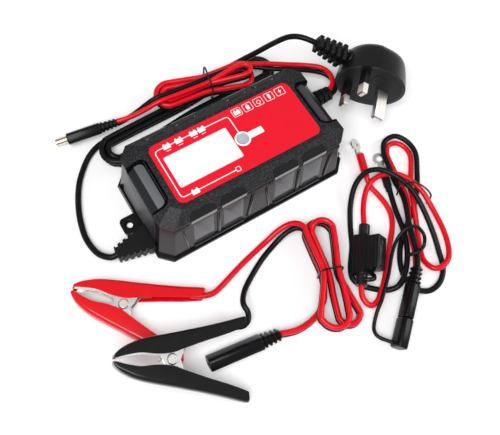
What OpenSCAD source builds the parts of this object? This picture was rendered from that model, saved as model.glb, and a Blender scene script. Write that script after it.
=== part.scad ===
// Car battery charger with its mains lead and plug, output lead, clip lead and ring-terminal lead.
// Millimetres. Origin at the bottom centre of the housing, +X to the output end, -Y to the front,
// +Z up through the display.

/* [Housing] */
// Length over the base flange
housing_l = 145; // [138:1:152]
// Width over the base flange
housing_w = 73.8; // [68:0.2:80]
// Height to the top face
housing_h = 47.6; // [46:0.2:52]
// Thickness of the moulded walls
wall_t = 2; // [1.6:0.1:2.4]
// Corner chamfer of the base flange
corner_c = 8; // [6:0.5:10]
// Distance between the two mounting holes
mount_pitch = 156; // [150:1:164]
// Diameter of a mounting hole
mount_d = 4.2; // [3.4:0.1:5]

/* [Top face] */
// Length of the red label
label_l = 104.7; // [98:0.5:108]
// Width of the red label
label_w = 44.5; // [40:0.5:46]
// Length of the display window
window_l = 45.6; // [40:0.5:48]
// Width of the display window
window_w = 23.8; // [20:0.2:26]
// Diameter of the mode button
button_d = 7.4; // [6:0.1:8.4]
// Travel of the mode button
button_travel = 0.8; // [0.4:0.1:1]

/* [Sides] */
// Width of one side window
side_window_w = 14; // [10:0.5:16]
// Height of one side window
side_window_h = 25; // [18:0.5:26]

/* [Leads] */
// Diameter of one low-voltage conductor
wire_d = 3.6; // [3:0.1:3.6]
// Diameter of the mains cable
mains_d = 4; // [3.4:0.1:4]

/* [Plug] */
// Diameter of the plug's pin face
plug_d = 50; // [46:0.5:52]
// Thickness of the plug body
plug_t = 25; // [22:0.5:28]
// Distance between the line and neutral pins
pin_spacing = 22.2; // [21.6:0.1:22.8]

/* [Clips] */
// Thickness of a clip grip over its two walls
grip_t = 10.8; // [9.6:0.2:11]
// Diameter of a clip rivet
rivet_d = 4; // [3:0.1:4.4]

/* [Fuse holder] */
// Length of the fuse cap
cap_l = 22; // [20:0.5:22.5]
// Height of the fuse cap
cap_h = 9.4; // [8.8:0.1:11]

/* [Hidden] */
hx = housing_l / 2;
hy = housing_w / 2;
top_z = housing_h;
flange_t = 2.4;
foot_x = hx - 1.5;
foot_y = hy - 1.6;
lip_z = top_z - 9.3;
lip_x = hx - 4.7;
lip_y = hy - 4.7;
rim_z = top_z - 4.6;
rim_x = hx - 3.85;
rim_y = hy - 3.9;
plat_x = hx - 15;
plat_y = hy - 11.9;
foot_c = corner_c - 0.4;
lip_c = corner_c - 1;
plat_c = corner_c - 2.5;
seal_t = 0.8;
kx = housing_l / 145;
ky = housing_w / 73.8;
kz = housing_h / 47.6;
post_x = hx - 13.5;
post_y = hy - 11.4;
post_r = 3.5;
screw_r = 1.45;
board_z = 6.4;
board_t = 1.6;
disp_z = top_z - 9.6;
window_x = -23;
window_y = -0.7;
button_x = 5.3;
button_y = -1.6;
button_r = button_d / 2;
fit_gap = 0.1;
side_x = [-41, -19.3, 19.3, 41];
wire_r = wire_d / 2;
mains_r = mains_d / 2;
pitch = wire_d + 0.15;
gland_y = -16.5;
gland_z = 7;
gland_x = -(hx + 22.5);
boot_y = 16;
boot_z = 12;
boot_x = hx + 19.5;
$fn = 32;

// Leads: routes along the table, hand-set points in millimetres
mains_in = [[gland_x + 2, -16, 6.8], [gland_x - 4, -15.5, 6], [-105, -8, 4], [-107, 5, 2.1], [-105, 18, 2.1],
  [-101, 30, 2.1], [-95, 42, 2.1], [-88, 51, 2.1], [-80, 58.5, 2.1], [-71, 63.2, 2.1]];
mains_out = [[16, 69.2, 6.8], [31, 71.8, 6.8], [42, 73, 8], [52, 71.5, 12], [61, 67.5, 20], [70, 61.5, 32],
  [77, 55.5, 42], [82.5, 49.5, 46.2], [88.2, 42.5, 46.2], [94.8, 35.8, 42.1]];
dc_in = [[boot_x - 2, 16, 12], [boot_x + 3.5, 17.2, 12], [100, 21.5, 12], [101, 29, 12], [97.5, 36, 12],
  [89, 42.5, 12.4], [78, 49, 12.8], [66, 56, 13.4], [55, 62.5, 14]];
dc_in_roll = [80, 70, 40, 0, -40, -70, -70, -40, 0, 0];
dc_out = [[31.5, -2.9, 21.8], [33.2, 0.6, 21.8], [30.5, 4, 21.8], [24, 4.6, 21.8], [12, 3, 21], [0, 1, 19.9],
  [-14, -1, 19.7], [-28, -2.8, 19.7], [-37, -3.9, 19.5], [-44, -4.6, 16.4], [-50, -5.1, 13], [-56, -5.5, 10.2],
  [-62, -5.8, 8], [-68, -6, 7]];
dc_out_roll = [0, 0, 0, 0, 20, 60, 90, 90, 90, 90, 80, 60, 40, 20, 0];
clip_in = [[-33.5, -110.2, 5.6], [-23, -113.7, 4.6], [-14, -114.2, 4], [-5, -112.4, 4], [1, -109, 4]];
clip_red = [[17.8, -62.2, 13.8], [16, -57.8, 12.6], [11.5, -54.6, 10], [4, -53.6, 6.4], [-5, -54.9, 3],
  [-15, -57, 2], [-27, -60, 2], [-38, -63.5, 2.8], [-47, -66.6, 4.3], [-54.2, -68.2, 5.2], [-60.9, -66.4, 5.5], [-67.2, -62.1, 5.5]];
clip_black = [[17.6, -62.8, 10], [15.8, -59.6, 9.2], [12, -57.8, 7.6], [6.5, -57.4, 5], [-3, -59.5, 2.3],
  [-15, -64, 2], [-27, -70.5, 3.4], [-36.5, -77, 6.4],
  [-42.4, -84.4, 11.9], [-42.7, -90.5, 11.3], [-45.2, -94.8, 11.1], [-49.3, -96.2, 11.3], [-53.2, -95.1, 12.1], [-56.4, -93.7, 12.9]];
ring_black = [[66.5, -120.5, 11.4], [72.5, -112, 11.2], [76.5, -103, 11], [81, -93, 10.6], [87, -83, 9.2],
  [92, -73.5, 6], [94.7, -62.5, 3.6], [97.6, -51.5, 4.6], [101, -41, 4.6], [107.2, -34, 4.6], [116.5, -34.3, 4.6],
  [121.2, -42.5, 4.6], [120.7, -52.5, 4.3], [114, -63.5, 2.6], [105.3, -74.6, 2.1], [95.5, -83.5, 2.1],
  [84.5, -91.2, 2.1], [74, -98.3, 2.1], [66.5, -105.5, 2.1], [61, -114, 2.1], [58.8, -121.5, 2.1],
  [59.5, -128, 2.1], [63, -133, 2.1], [69, -135.8, 2.1], [77.5, -134.3, 2.1], [85, -128, 2.1],
  [89.5, -117.5, 3], [93, -107, 5], [95.5, -95.5, 7.5], [97, -84, 10], [97, -74, 11.5], [94.6, -64, 11.6],
  [90.5, -56, 11.6], [85, -51, 11.5], [77, -49, 10.6], [67, -52.5, 7.8], [57.5, -61.5, 4], [48.8, -74, 2.2],
  [42.1, -85.3, 1.9], [36.6, -92, 1.9], [31.8, -98, 1.9], [29.2, -104, 1.9], [31, -110, 1.9], [36, -115.5, 1.9],
  [41, -119.6, 2], [45.5, -122.5, 3.6],
  [51, -123.3, 5.8], [58.5, -119.5, 6], [66, -112.5, 6], [72.5, -103.5, 6], [77, -93.5, 6], [81.5, -81.5, 3.8],
  [85.3, -72, 3], [88, -65.2, 3], [89.4, -61.4, 3]];
ring_red = [[66.5, -120.5, 7.6], [72.5, -112, 7.4], [76.7, -103.2, 7.2], [82, -93.8, 6.9], [88.9, -84, 5.9],
  [95.1, -74.8, 2.8], [98.3, -63.2, 2.1], [100.8, -52.3, 2.1], [103.5, -42.5, 2.1], [108.2, -37.4, 2.1],
  [114.4, -38.2, 2.1], [118, -43.7, 2.1], [117.5, -51.5, 2.1], [111, -60.5, 2.1], [105.3, -67.3, 2.1],
  [101.3, -72.2, 2.3], [97.8, -77.5, 5.2], [94.5, -83, 6], [90.5, -91, 4.2], [84.5, -102, 2.1],
  [79.5, -111, 2.1], [76.7, -118, 3], [77.3, -124.8, 5.6], [82.3, -127.4, 6], [90, -125.5, 5.6],
  [97, -119, 2.6], [101.5, -109.5, 2.1], [104.2, -99, 2.1], [105.8, -88, 3], [105.6, -79, 5.6],
  [103.5, -69, 7], [98.5, -61, 7.7], [92.3, -57, 7.8], [85.5, -54.8, 7.2], [77.5, -55.8, 6.6],
  [69.5, -61, 6.4], [61.3, -70, 6.9], [54.6, -79.9, 7.8], [52.4, -82.9, 7.8]];
ring_red_end = [[31.5, -108.7, 7.8], [28.2, -112.8, 7.8], [25.6, -118.5, 7.3], [27, -124.5, 6.4], [33, -124.5, 5.9], [43, -117.5, 5.7],
  [54.5, -107.3, 3], [64.5, -97.3, 2.1], [73.3, -88.3, 2.1], [78, -80.5, 2.1], [79.5, -72, 2.1],
  [79, -64, 2.1], [78.2, -57, 2.3], [79.3, -49.6, 4.3], [80.4, -46.6, 4.4]];
tether = [[24.05, -148.25, 6], [20.8, -143.8, 5.2], [19.9, -140, 5], [21.8, -136, 5], [27.8, -130.2, 7.4], [34, -126, 9.5],
  [40, -121.2, 9.8], [48.5, -114.3, 9.6], [57.5, -105.6, 9.6], [65.4, -99.6, 9.8], [71.6, -96.9, 12.4],
  [77, -96.6, 14.8], [82.6, -99, 13.4], [84.6, -105, 10], [80.5, -110, 11], [75.6, -112.4, 14.9],
  [70.2, -112.8, 14.6], [65.6, -111, 11.6]];

// Vectors and routes
function unit(v) = v / norm(v);
function tangent(p, i) = unit(p[min(i + 1, len(p) - 1)] - p[max(i - 1, 0)]);
function side_dir(t) = unit(cross([0, 0, 1], t));
function ring_pts(c, t, r, s) = [for (j = [0:s - 1])
  c + r * (cos(360 * j / s) * side_dir(t) + sin(360 * j / s) * cross(t, side_dir(t)))];
function pair_side(p, roll, k) = [for (i = [0:len(p) - 1])
  p[i] + k * (cos(roll[i]) * cross(tangent(p, i), side_dir(tangent(p, i))) + sin(roll[i]) * side_dir(tangent(p, i)))];
function flat_roll(p) = [for (q = p) 0];
function spin_move(p, a, c) = [for (q = p)
  [c[0] + q[0] * cos(a) - q[1] * sin(a), c[1] + q[0] * sin(a) + q[1] * cos(a), q[2]]];

// Wound hanks: 24 rings to a loop, drawn in at the waist, radius and height steps kind by kind
function hank_r(kind, t) =
  kind == "mains" ? (t <= 2 ? 12.3 - 4.5 * (t - 0.5) : (t <= 2.3 ? 5.55 : 5.55 + 4.5 * (t - 2.3))) :
  kind == "dc" ? 11 - 4.3 * t :
  (t < 1.5 ? 10.6 - 4.4 * (t - 0.5) : (t < 1.7 ? 6.2 : 6.2 + 4.4 * (t - 1.7)));
function hank_z(kind, t) =
  kind == "mains" ? (t <= 2 ? 2.1 : (t >= 2.3 ? 6.7 : 2.1 + 4.6 * (t - 2) / 0.3)) :
  kind == "dc" ? (t < 1.5 ? 14 : 14 + 7.8 * (t - 1.5) * 6) :
  (t < 1.5 ? 4 : (t > 1.75 ? 12.2 : 4 + 8.2 * (t - 1.5) / 0.25));
function hank_pt(kind, i, s, m) =
  let (t = i / 24, q = i % 24, r = hank_r(kind, t))
  let (x = q <= 4 ? s / 2 - s * q / 4 : q < 12 ? -s / 2 - r * sin(22.5 * (q - 4)) :
    q <= 16 ? -s / 2 + s * (q - 12) / 4 : s / 2 + r * sin(22.5 * (q - 16)))
  let (w = m * pow(cos(180 * x / s), 2))
  [x, q <= 4 ? r - w : q < 12 ? r * cos(22.5 * (q - 4)) : q <= 16 ? w - r : -r * cos(22.5 * (q - 16)),
    hank_z(kind, t)];
function hank(kind, i0, i1, s, m, way) = [for (i = [i0:i1])
  let (p = hank_pt(kind, i, s, m)) [p[0], way * p[1], p[2]]];
mains_loops = spin_move(hank("mains", 12, 86, 122, 3, -1), 5, [0, 57.5]);
dc_spin = -12;
dc_mid = [16, 63];
dc_loops = spin_move(hank("dc", 0, 40, 54, 3, 1), dc_spin, dc_mid);
clip_spin = 71;
clip_mid = [18, -95];
// The two turns fan out past the tie, each by its own share towards the bottom end
function fan(i, x, s) = (i > 46 ? 6 : i > 24 && i < 42 ? -3.2 : 0) * pow(max(0, min(1, (6 - x) / (s / 2 + 6))), 1.5);
clip_flat = hank("clip", 13, 64, 54, 4, -1);
clip_loops = spin_move([for (i = [0:51]) let (q = clip_flat[i]) [q[0], q[1] + fan(i + 13, q[0], 54), q[2]]], clip_spin, clip_mid);
dc_red_loops = pair_side(dc_loops, flat_roll(dc_loops), pitch / 2);
dc_black_loops = pair_side(dc_loops, flat_roll(dc_loops), -pitch / 2);
clip_red_loops = pair_side(clip_loops, flat_roll(clip_loops), pitch / 2);
clip_black_loops = pair_side(clip_loops, flat_roll(clip_loops), -pitch / 2);
dc_in_all = concat(dc_in, [dc_loops[0]]);
dc_out_all = concat([dc_loops[40]], spin_move(dc_out, dc_spin, dc_mid));
clip_in_all = concat(clip_in, [clip_loops[0]]);
function self_gap(p, r) = min([for (i = [0:len(p) - 10]) min([for (j = [i + 9:len(p) - 1]) norm(p[i] - p[j])])]) - 2 * r;
echo(mains_hank_gap = self_gap(mains_loops, mains_r));
echo(dc_hank_gap = self_gap(dc_red_loops, wire_r));
echo(clip_hank_gap = self_gap(clip_red_loops, wire_r));

// Shape helpers
module loft(rings) {
  n = len(rings[0]);
  m = len(rings);
  polyhedron(points = [for (r = rings) each r],
    faces = concat([[for (j = [0:n - 1]) j]], [[for (j = [n - 1:-1:0]) (m - 1) * n + j]],
      [for (i = [0:m - 2]) for (j = [0:n - 1])
        [i * n + j, (i + 1) * n + j, (i + 1) * n + (j + 1) % n, i * n + (j + 1) % n]]));
}
module tube(p, r, s = 8) {
  n = len(p);
  polyhedron(points = [for (i = [0:n - 1]) each ring_pts(p[i], tangent(p, i), r, s)],
    faces = concat([[for (j = [0:s - 1]) j]], [[for (j = [s - 1:-1:0]) (n - 1) * s + j]],
      [for (i = [0:n - 2]) for (j = [0:s - 1]) each [
        [i * s + j, (i + 1) * s + j, (i + 1) * s + (j + 1) % s],
        [i * s + j, (i + 1) * s + (j + 1) % s, i * s + (j + 1) % s]]]));
}
function octo(x, y, c, z) = [[x - c, -y, z], [x, c - y, z], [x, y - c, z], [x - c, y, z],
  [c - x, y, z], [-x, y - c, z], [-x, c - y, z], [c - x, -y, z]];
function quad(x0, x1, y0, y1, z) = [[x0, y0, z], [x1, y0, z], [x1, y1, z], [x0, y1, z]];
module block(x0, x1, y0, y1, z0, z1) {
  translate([x0, y0, z0]) cube([x1 - x0, y1 - y0, z1 - z0]);
}
module rod(x, y, z0, z1, r) {
  translate([x, y, z0]) cylinder(h = z1 - z0, r = r);
}
module rrect(l, w, r) {
  square([l - 2 * r, w], center = true);
  square([l, w - 2 * r], center = true);
  for (sx = [-1, 1]) {
    for (sy = [-1, 1]) {
      translate([sx * (l / 2 - r), sy * (w / 2 - r)]) circle(r = r);
    }
  }
}
module corners(x, y) {
  for (sx = [-1, 1]) {
    for (sy = [-1, 1]) {
      translate([sx * x, sy * y, 0]) children();
    }
  }
}

// Housing
module base_tray() color([0.05, 0.05, 0.055]) difference() {
  union() {
    loft([octo(hx, hy, corner_c, 0), octo(hx, hy, corner_c, flange_t)]);
    difference() {
      loft([octo(foot_x - wall_t - 0.6, foot_y - wall_t - 0.6, foot_c, 2), octo(foot_x - wall_t - 0.6, foot_y - wall_t - 0.6, foot_c, 5.6)]);
      loft([octo(foot_x - 2 * wall_t - 0.4, foot_y - 2 * wall_t - 0.4, foot_c, 1.9), octo(foot_x - 2 * wall_t - 0.4, foot_y - 2 * wall_t - 0.4, foot_c, 5.7)]);
      block(-hx, 14 - hx, gland_y - 9.4, gland_y + 9.4, flange_t, 9);
      block(hx - 14, hx, boot_y - 7, boot_y + 7, flange_t + 2.6, 9);
    }
    for (s = [-1, 1]) {
      hull() {
        translate([s * (mount_pitch / 2 + 2), 0, 0]) linear_extrude(height = 2.8) rrect(7, 12, 3);
        translate([s * (hx - 2), 0, 0]) linear_extrude(height = 2.8) square([2, 12], center = true);
      }
      block(min(s * (hx - 1.4), s * (hx - 0.1)), max(s * (hx - 1.4), s * (hx - 0.1)), -5, 5, 2, 7);
      block(min(s * (hx - 1.4), s * (hx - 0.1)), max(s * (hx - 1.4), s * (hx - 0.1)), s > 0 ? -27 : 6, s > 0 ? -6 : 27, 2, 7);
    }
    corners(post_x, post_y) rod(0, 0, 2, 7.9, post_r);
    corners(hx - 24.5, hy - 12.9) rod(0, 0, 2, board_z, 2.5);
  }
  corners(post_x, post_y) rod(0, 0, -1, 9, 1.6);
  corners(post_x, post_y) rod(0, 0, -1, 1.8, 3.2);
  for (s = [-1, 1]) {
    rod(s * mount_pitch / 2, 0, -1, 4, mount_d / 2);
    translate([s * mount_pitch / 2, 0, 1.6]) cylinder(h = 1.3, r1 = mount_d / 2, r2 = mount_d / 2 + 1.4);
  }
}
module housing_seal() color([0.1, 0.1, 0.1]) difference() {
  loft([octo(foot_x - 0.8, foot_y - 0.8, foot_c, flange_t), octo(foot_x - 0.8, foot_y - 0.8, foot_c, flange_t + seal_t)]);
  loft([octo(foot_x - wall_t - 0.55, foot_y - wall_t - 0.55, foot_c, 2), octo(foot_x - wall_t - 0.55, foot_y - wall_t - 0.55, foot_c, 4)]);
}
function side_y(z) = foot_y + (lip_y - foot_y) * (z - flange_t) / (lip_z - flange_t);
module side_panels() color([0.28, 0.28, 0.3]) difference() {
  loft([octo(foot_x, foot_y, foot_c, flange_t), octo(lip_x, lip_y, lip_c, lip_z)]);
  loft([octo(foot_x - wall_t, foot_y - wall_t, foot_c - 0.3, flange_t - 0.1), octo(lip_x - wall_t, lip_y - wall_t, lip_c - 0.3, lip_z + 0.1)]);
  loft([octo(foot_x - 0.75, foot_y - 0.75, foot_c, flange_t - 1), octo(foot_x - 0.75, foot_y - 0.75, foot_c, flange_t + seal_t)]);
  for (s = [0, 180]) {
    rotate([0, 0, s]) for (x = side_x) {
      loft([quad(x - side_window_w / 2, x + side_window_w / 2, 1.1 - side_y(8) - 2.3 + 1.2 - 10, 1.1 - side_y(8), 8),
        quad(x - side_window_w / 2, x + side_window_w / 2, 1.1 - side_y(8) - 11, 1.1 - side_y(8 + side_window_h), 8 + side_window_h)]);
    }
  }
  translate([-hx - 2, gland_y, gland_z]) rotate([0, 90, 0]) cylinder(h = 10, r = 3.6);
  translate([hx - 8, boot_y, boot_z]) rotate([0, 90, 0]) cylinder(h = 10, r = 4.6);
}
module cover_outer() {
  loft([octo(lip_x, lip_y, lip_c, lip_z), octo(rim_x, rim_y, lip_c + 0.3, rim_z), octo(plat_x, plat_y, plat_c, top_z)]);
}
module cover_inner() {
  loft([octo(lip_x - wall_t, lip_y - wall_t, lip_c - 0.4, lip_z - 0.1), octo(rim_x - wall_t - 0.4, rim_y - wall_t - 0.4, lip_c, rim_z - 0.3),
    octo(plat_x - 1, plat_y - 1, plat_c, top_z - wall_t)]);
}
module end_cut() {
  for (s = [0, 180]) {
    rotate([0, 0, s]) translate([0, 17, 0]) rotate([90, 0, 0]) linear_extrude(height = 34)
      polygon([[hx - 15, top_z + 2], [hx - 15, top_z - 3.1], [hx - 10, top_z - 4.1], [hx - 8.5, top_z - 8.1],
        [hx + 2, top_z - 8.9], [hx + 2, top_z + 2]]);
  }
}
module top_cover() color([0.1, 0.1, 0.105]) difference() {
  union() {
    difference() {
      cover_outer();
      cover_inner();
    }
    intersection() {
      cover_outer();
      for (s = [-1, 1]) {
        block(min(s * (hx - 18.5), s * hx), max(s * (hx - 18.5), s * hx), -19, 19, lip_z, top_z);
      }
    }
    for (s = [-1, 1]) {
      block(min(s * (hx - 18.5), s * (lip_x - wall_t - 0.4)), max(s * (hx - 18.5), s * (lip_x - wall_t - 0.4)), -19, 19, lip_z - 1.8, lip_z + 0.1);
    }
    intersection() {
      cover_outer();
      corners(post_x, post_y) rod(0, 0, lip_z, top_z, post_r);
    }
    corners(post_x, post_y) rod(0, 0, 8, lip_z + 0.1, post_r);
    for (x = [-48, 32]) {
      for (y = [-17, 17]) {
        rod(x, y, disp_z + board_t, top_z - 1, 2.5);
      }
    }
  }
  end_cut();
  corners(post_x, post_y) rod(0, 0, 7, 24, 1.5);
  block(window_x - window_l / 2, window_x + window_l / 2, window_y - window_w / 2, window_y + window_w / 2, top_z - 5, top_z + 1);
  rod(button_x, button_y, top_z - 5, top_z + 1, button_r + fit_gap);
  for (s = [0, 180]) {
    rotate([0, 0, s]) for (x = side_x) {
      block(x - 8, x + 8, -rim_y - 2, -rim_y + 0.7, lip_z - 1, rim_z - 0.6);
    }
  }
}
module label_panel() color([0.82, 0.05, 0.09]) translate([0.7, -0.1, top_z]) linear_extrude(height = 0.35) difference() {
  rrect(label_l, label_w, 5);
  translate([window_x - 0.7, window_y + 0.1]) square([window_l, window_w], center = true);
  translate([button_x - 0.7, button_y + 0.1]) circle(r = button_r + fit_gap);
}
module window_lens() color([0.93, 0.95, 0.97]) translate([window_x, window_y, 0]) {
  translate([0, 0, top_z - 2.6]) linear_extrude(height = 2.9) square([window_l - 0.2, window_w - 0.2], center = true);
  translate([0, 0, top_z - 2.7]) linear_extrude(height = 0.7) square([window_l + 2, window_w + 2], center = true);
}
module lcd_module() color([0.75, 0.8, 0.8]) {
  block(window_x - window_l / 2 + 0.3, window_x + window_l / 2 - 0.5, window_y - window_w / 2, window_y + window_w / 2, disp_z + board_t, top_z - 2.7);
}
module display_board() color([0.05, 0.3, 0.12]) {
  block(-53 * kx, 38 * kx, -20 * ky, 20 * ky, disp_z, disp_z + board_t);
}
module mode_button() color([0.72, 0.75, 0.8]) {
  rod(button_x, button_y, top_z - 3.4, top_z + 1.1, button_r);
  rod(button_x, button_y, top_z - 4.2, top_z - 3.3, button_r + 1.2);
}
module mode_switch() color([0.15, 0.15, 0.15]) {
  block(button_x - 3, button_x + 3, button_y - 3, button_y + 3, disp_z + board_t, top_z - 5.4);
  rod(button_x, button_y, top_z - 5.5, top_z - 4.25 - button_travel, 1.6);
}
module main_board() color([0.05, 0.28, 0.14]) difference() {
  block(16.5 - hx, hx - 16.5, 8 - hy, hy - 8, board_z, board_z + board_t);
  translate([-6, 6, 0]) cube([12, 12, 60], center = true);
}
module transformer() color([0.75, 0.6, 0.15]) {
  block(-26 * kx, 6 * kx, -9 * ky, 5 * ky, board_z + board_t, 31 * kz);
  block(-22 * kx, 2 * kx, -15 * ky, 11 * ky, board_z + board_t + 3 * kz, 27 * kz);
}
module capacitors() color([0.1, 0.12, 0.3]) {
  rod(-42 * kx, -9 * ky, board_z + board_t, 33 * kz, 8 * ky);
  rod(-42 * kx, 9 * ky, board_z + board_t, 33 * kz, 8 * ky);
  rod(28 * kx, 17 * ky, board_z + board_t, 26 * kz, 5 * ky);
  rod(40 * kx, 17 * ky, board_z + board_t, 26 * kz, 5 * ky);
}
module line_choke() color([0.7, 0.35, 0.1]) {
  translate([-26 * kx, 20 * ky, board_z + board_t + 3.2 * ky]) rotate_extrude() translate([5.6 * ky, 0]) circle(r = 3.2 * ky, $fn = 20);
}
module heatsink() color([0.7, 0.72, 0.74]) {
  block(12 * kx, 50 * kx, -12 * ky, -9 * ky, board_z + board_t, 33 * kz);
  for (x = [14:5:46]) {
    block(x * kx, (x + 1.5) * kx, -9.1 * ky, 2 * ky, board_z + board_t, 33 * kz);
  }
}
module power_transistors() color([0.08, 0.08, 0.08]) {
  for (x = [16, 34]) {
    block(x * kx, (x + 10) * kx, -16.5 * ky, -12 * ky, 13 * kz, 28 * kz);
    for (k = [0:2]) {
      block((x + 1.8 + 2.6 * k) * kx, (x + 2.6 + 2.6 * k) * kx, -14.8 * ky, -14 * ky, board_z + board_t, 13.1 * kz);
    }
  }
}
module bridge_rectifier() color([0.12, 0.12, 0.12]) {
  block(2 * kx, 22 * kx, 16 * ky, 20 * ky, board_z + board_t, 22 * kz);
}
module housing_screws() color([0.6, 0.6, 0.62]) corners(post_x, post_y) {
  rod(0, 0, 0, 1.8, 2.9);
  rod(0, 0, 0.4, 20, screw_r);
}

// Mains lead and plug
module mains_gland() color([0.05, 0.05, 0.05]) difference() {
  union() {
    rotate([0, -90, 0]) loft([quad(gland_z - 4.4, gland_z + 4.6, gland_y - 9, gland_y + 9, hx - 1.4), quad(gland_z - 4.4, gland_z + 4.6, gland_y - 9, gland_y + 9, hx + 1.5),
      quad(gland_z - 4.3, gland_z + 3.8, gland_y - 4.2, gland_y + 4.4, hx + 22.5)]);
    translate([1.2 - hx, gland_y, gland_z]) rotate([0, 90, 0]) cylinder(h = 4, r = 3.5);
    translate([4.3 - hx, gland_y, gland_z]) rotate([0, 90, 0]) cylinder(h = 1.6, r = 4.4);
  }
  for (k = [0:4]) {
    for (s = [-1, 1]) {
      translate([-hx - 4.5 - 4 * k, gland_y + s * (9.6 - 0.88 * k), gland_z]) cube([1.9, 5, 12], center = true);
    }
  }
}
module mains_lead() color([0.04, 0.04, 0.04]) {
  tube(concat(mains_in, [mains_loops[0]]), mains_r, 8);
  tube(concat([mains_loops[74]], mains_out), mains_r, 8);
}
module mains_hank() color([0.04, 0.04, 0.04]) {
  tube(mains_loops, mains_r, 6);
}
module plug_place() {
  translate([120.8, -6.3, 20.6]) rotate([94.926, -65.141, -49.332]) children();
}
plug_y = 10.8;
carrier_y = 11;
module plug_shell() color([0.04, 0.04, 0.045]) plug_place() difference() {
  union() {
    translate([0, plug_y, -plug_t]) cylinder(h = 4, r1 = plug_d / 2 * 0.66, r2 = plug_d / 2 * 0.82, $fn = 48);
    translate([0, plug_y, 4 - plug_t]) cylinder(h = plug_t - 4, r1 = plug_d / 2 * 0.82, r2 = plug_d / 2, $fn = 48);
    translate([0, plug_y + 14, -12]) rotate([-90, 0, 0]) cylinder(h = 11, r1 = 9, r2 = 6.6);
  }
  translate([0, plug_y, -2.6]) cylinder(h = 4, r = plug_d / 2 - 2.4, $fn = 48);
  block(-15.1, 15.1, carrier_y - 4, carrier_y + 4, -12, 1);
  pin_blocks(0.05, -14);
}
module pin_blocks(g, z0) {
  block(-2 - g, 2 + g, -4 - g, 4 + g, z0, 1);
  for (s = [-1, 1]) {
    translate([s * pin_spacing / 2, 22.2, 0]) block(-3.2 - g, 3.2 + g, -2 - g, 2 + g, z0, 1);
  }
}
module plug_face() color([0.05, 0.05, 0.055]) plug_place() difference() {
  union() {
    translate([0, plug_y, -2.6]) cylinder(h = 2.6, r = plug_d / 2 - 2.45, $fn = 48);
    for (s = [-1, 1]) {
      translate([s * pin_spacing / 2, 22.2, 0]) block(-3.2, 3.2, -2, 2, -0.1, 9.5);
    }
  }
  block(-14.95, 14.95, carrier_y - 3.85, carrier_y + 3.85, -4, 1);
  block(-2, 2, -4, 4, -4, 1);
  for (s = [-1, 1]) {
    translate([s * pin_spacing / 2, 22.2, 0]) block(-2.6, 2.6, -1.4, 1.4, -4, 11);
  }
}
module plug_pins() color([0.85, 0.72, 0.42]) plug_place() {
  block(-2, 2, -4, 4, -13.9, 21.5);
  loft([quad(-2, 2, -4, 4, 21.5), quad(-1.2, 1.2, -3.2, 3.2, 22.7)]);
  for (s = [-1, 1]) {
    translate([s * pin_spacing / 2, 22.2, 0]) {
      block(-2.6, 2.6, -1.4, 1.4, -2.7, 9.6);
      block(-3.2, 3.2, -2, 2, 9.5, 16.8);
      loft([quad(-3.2, 3.2, -2, 2, 16.8), quad(-2.5, 2.5, -1.3, 1.3, 17.7)]);
      block(-3.2, 3.2, -2, 2, -13.9, -2.65);
    }
  }
}
module fuse_carrier() color([0.05, 0.05, 0.05]) plug_place() difference() {
  block(-14.85, 14.85, carrier_y - 3.75, carrier_y + 3.75, -9, 0.2);
  block(-13.2, 13.2, carrier_y - 3.2, carrier_y + 3.2, -9.1, -2);
}
module plug_fuse() color([0.8, 0.78, 0.7]) plug_place() {
  translate([-12.7, carrier_y, -5.3]) rotate([0, 90, 0]) cylinder(h = 25.4, r = 3.17, $fn = 24);
}
module plug_relief() color([0.05, 0.05, 0.05]) plug_place() translate([0, plug_y + 24.9, -12]) rotate([-90, 0, 0]) {
  cylinder(h = 24, r1 = 5, r2 = 3.4, $fn = 24);
  for (k = [0:4]) {
    translate([0, 0, 1.5 + 4.7 * k]) cylinder(h = 2.8, r = 6.8 - 0.4 * k, $fn = 24);
  }
}

// Output lead
module dc_gland() color([0.05, 0.05, 0.05]) translate([hx - 2.2, boot_y, boot_z]) rotate([0, 90, 0]) {
  translate([0, 0, -3.8]) cylinder(h = 1.5, r = 6.4);
  translate([0, 0, -2.4]) cylinder(h = 3, r = 4.5);
  translate([0, 0, 0.1]) cylinder(h = 4.1, r = 6.5);
  translate([0, 0, 4]) cylinder(h = 17.7, r1 = 5, r2 = 4.2);
  for (k = [0:3]) {
    translate([0, 0, 6.2 + 4.2 * k]) cylinder(h = 2.4, r = 6.1 - 0.3 * k);
  }
}
module dc_lead_red() color([0.8, 0.04, 0.08]) {
  tube(pair_side(dc_in_all, dc_in_roll, pitch / 2), wire_r);
  tube(pair_side(dc_out_all, dc_out_roll, pitch / 2), wire_r);
}
module dc_lead_black() color([0.04, 0.04, 0.04]) {
  tube(pair_side(dc_in_all, dc_in_roll, -pitch / 2), wire_r);
  tube(pair_side(dc_out_all, dc_out_roll, -pitch / 2), wire_r);
}
module dc_hank_red() color([0.8, 0.04, 0.08]) {
  tube(dc_red_loops, wire_r, 6);
}
module dc_hank_black() color([0.04, 0.04, 0.04]) {
  tube(dc_black_loops, wire_r, 6);
}

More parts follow.
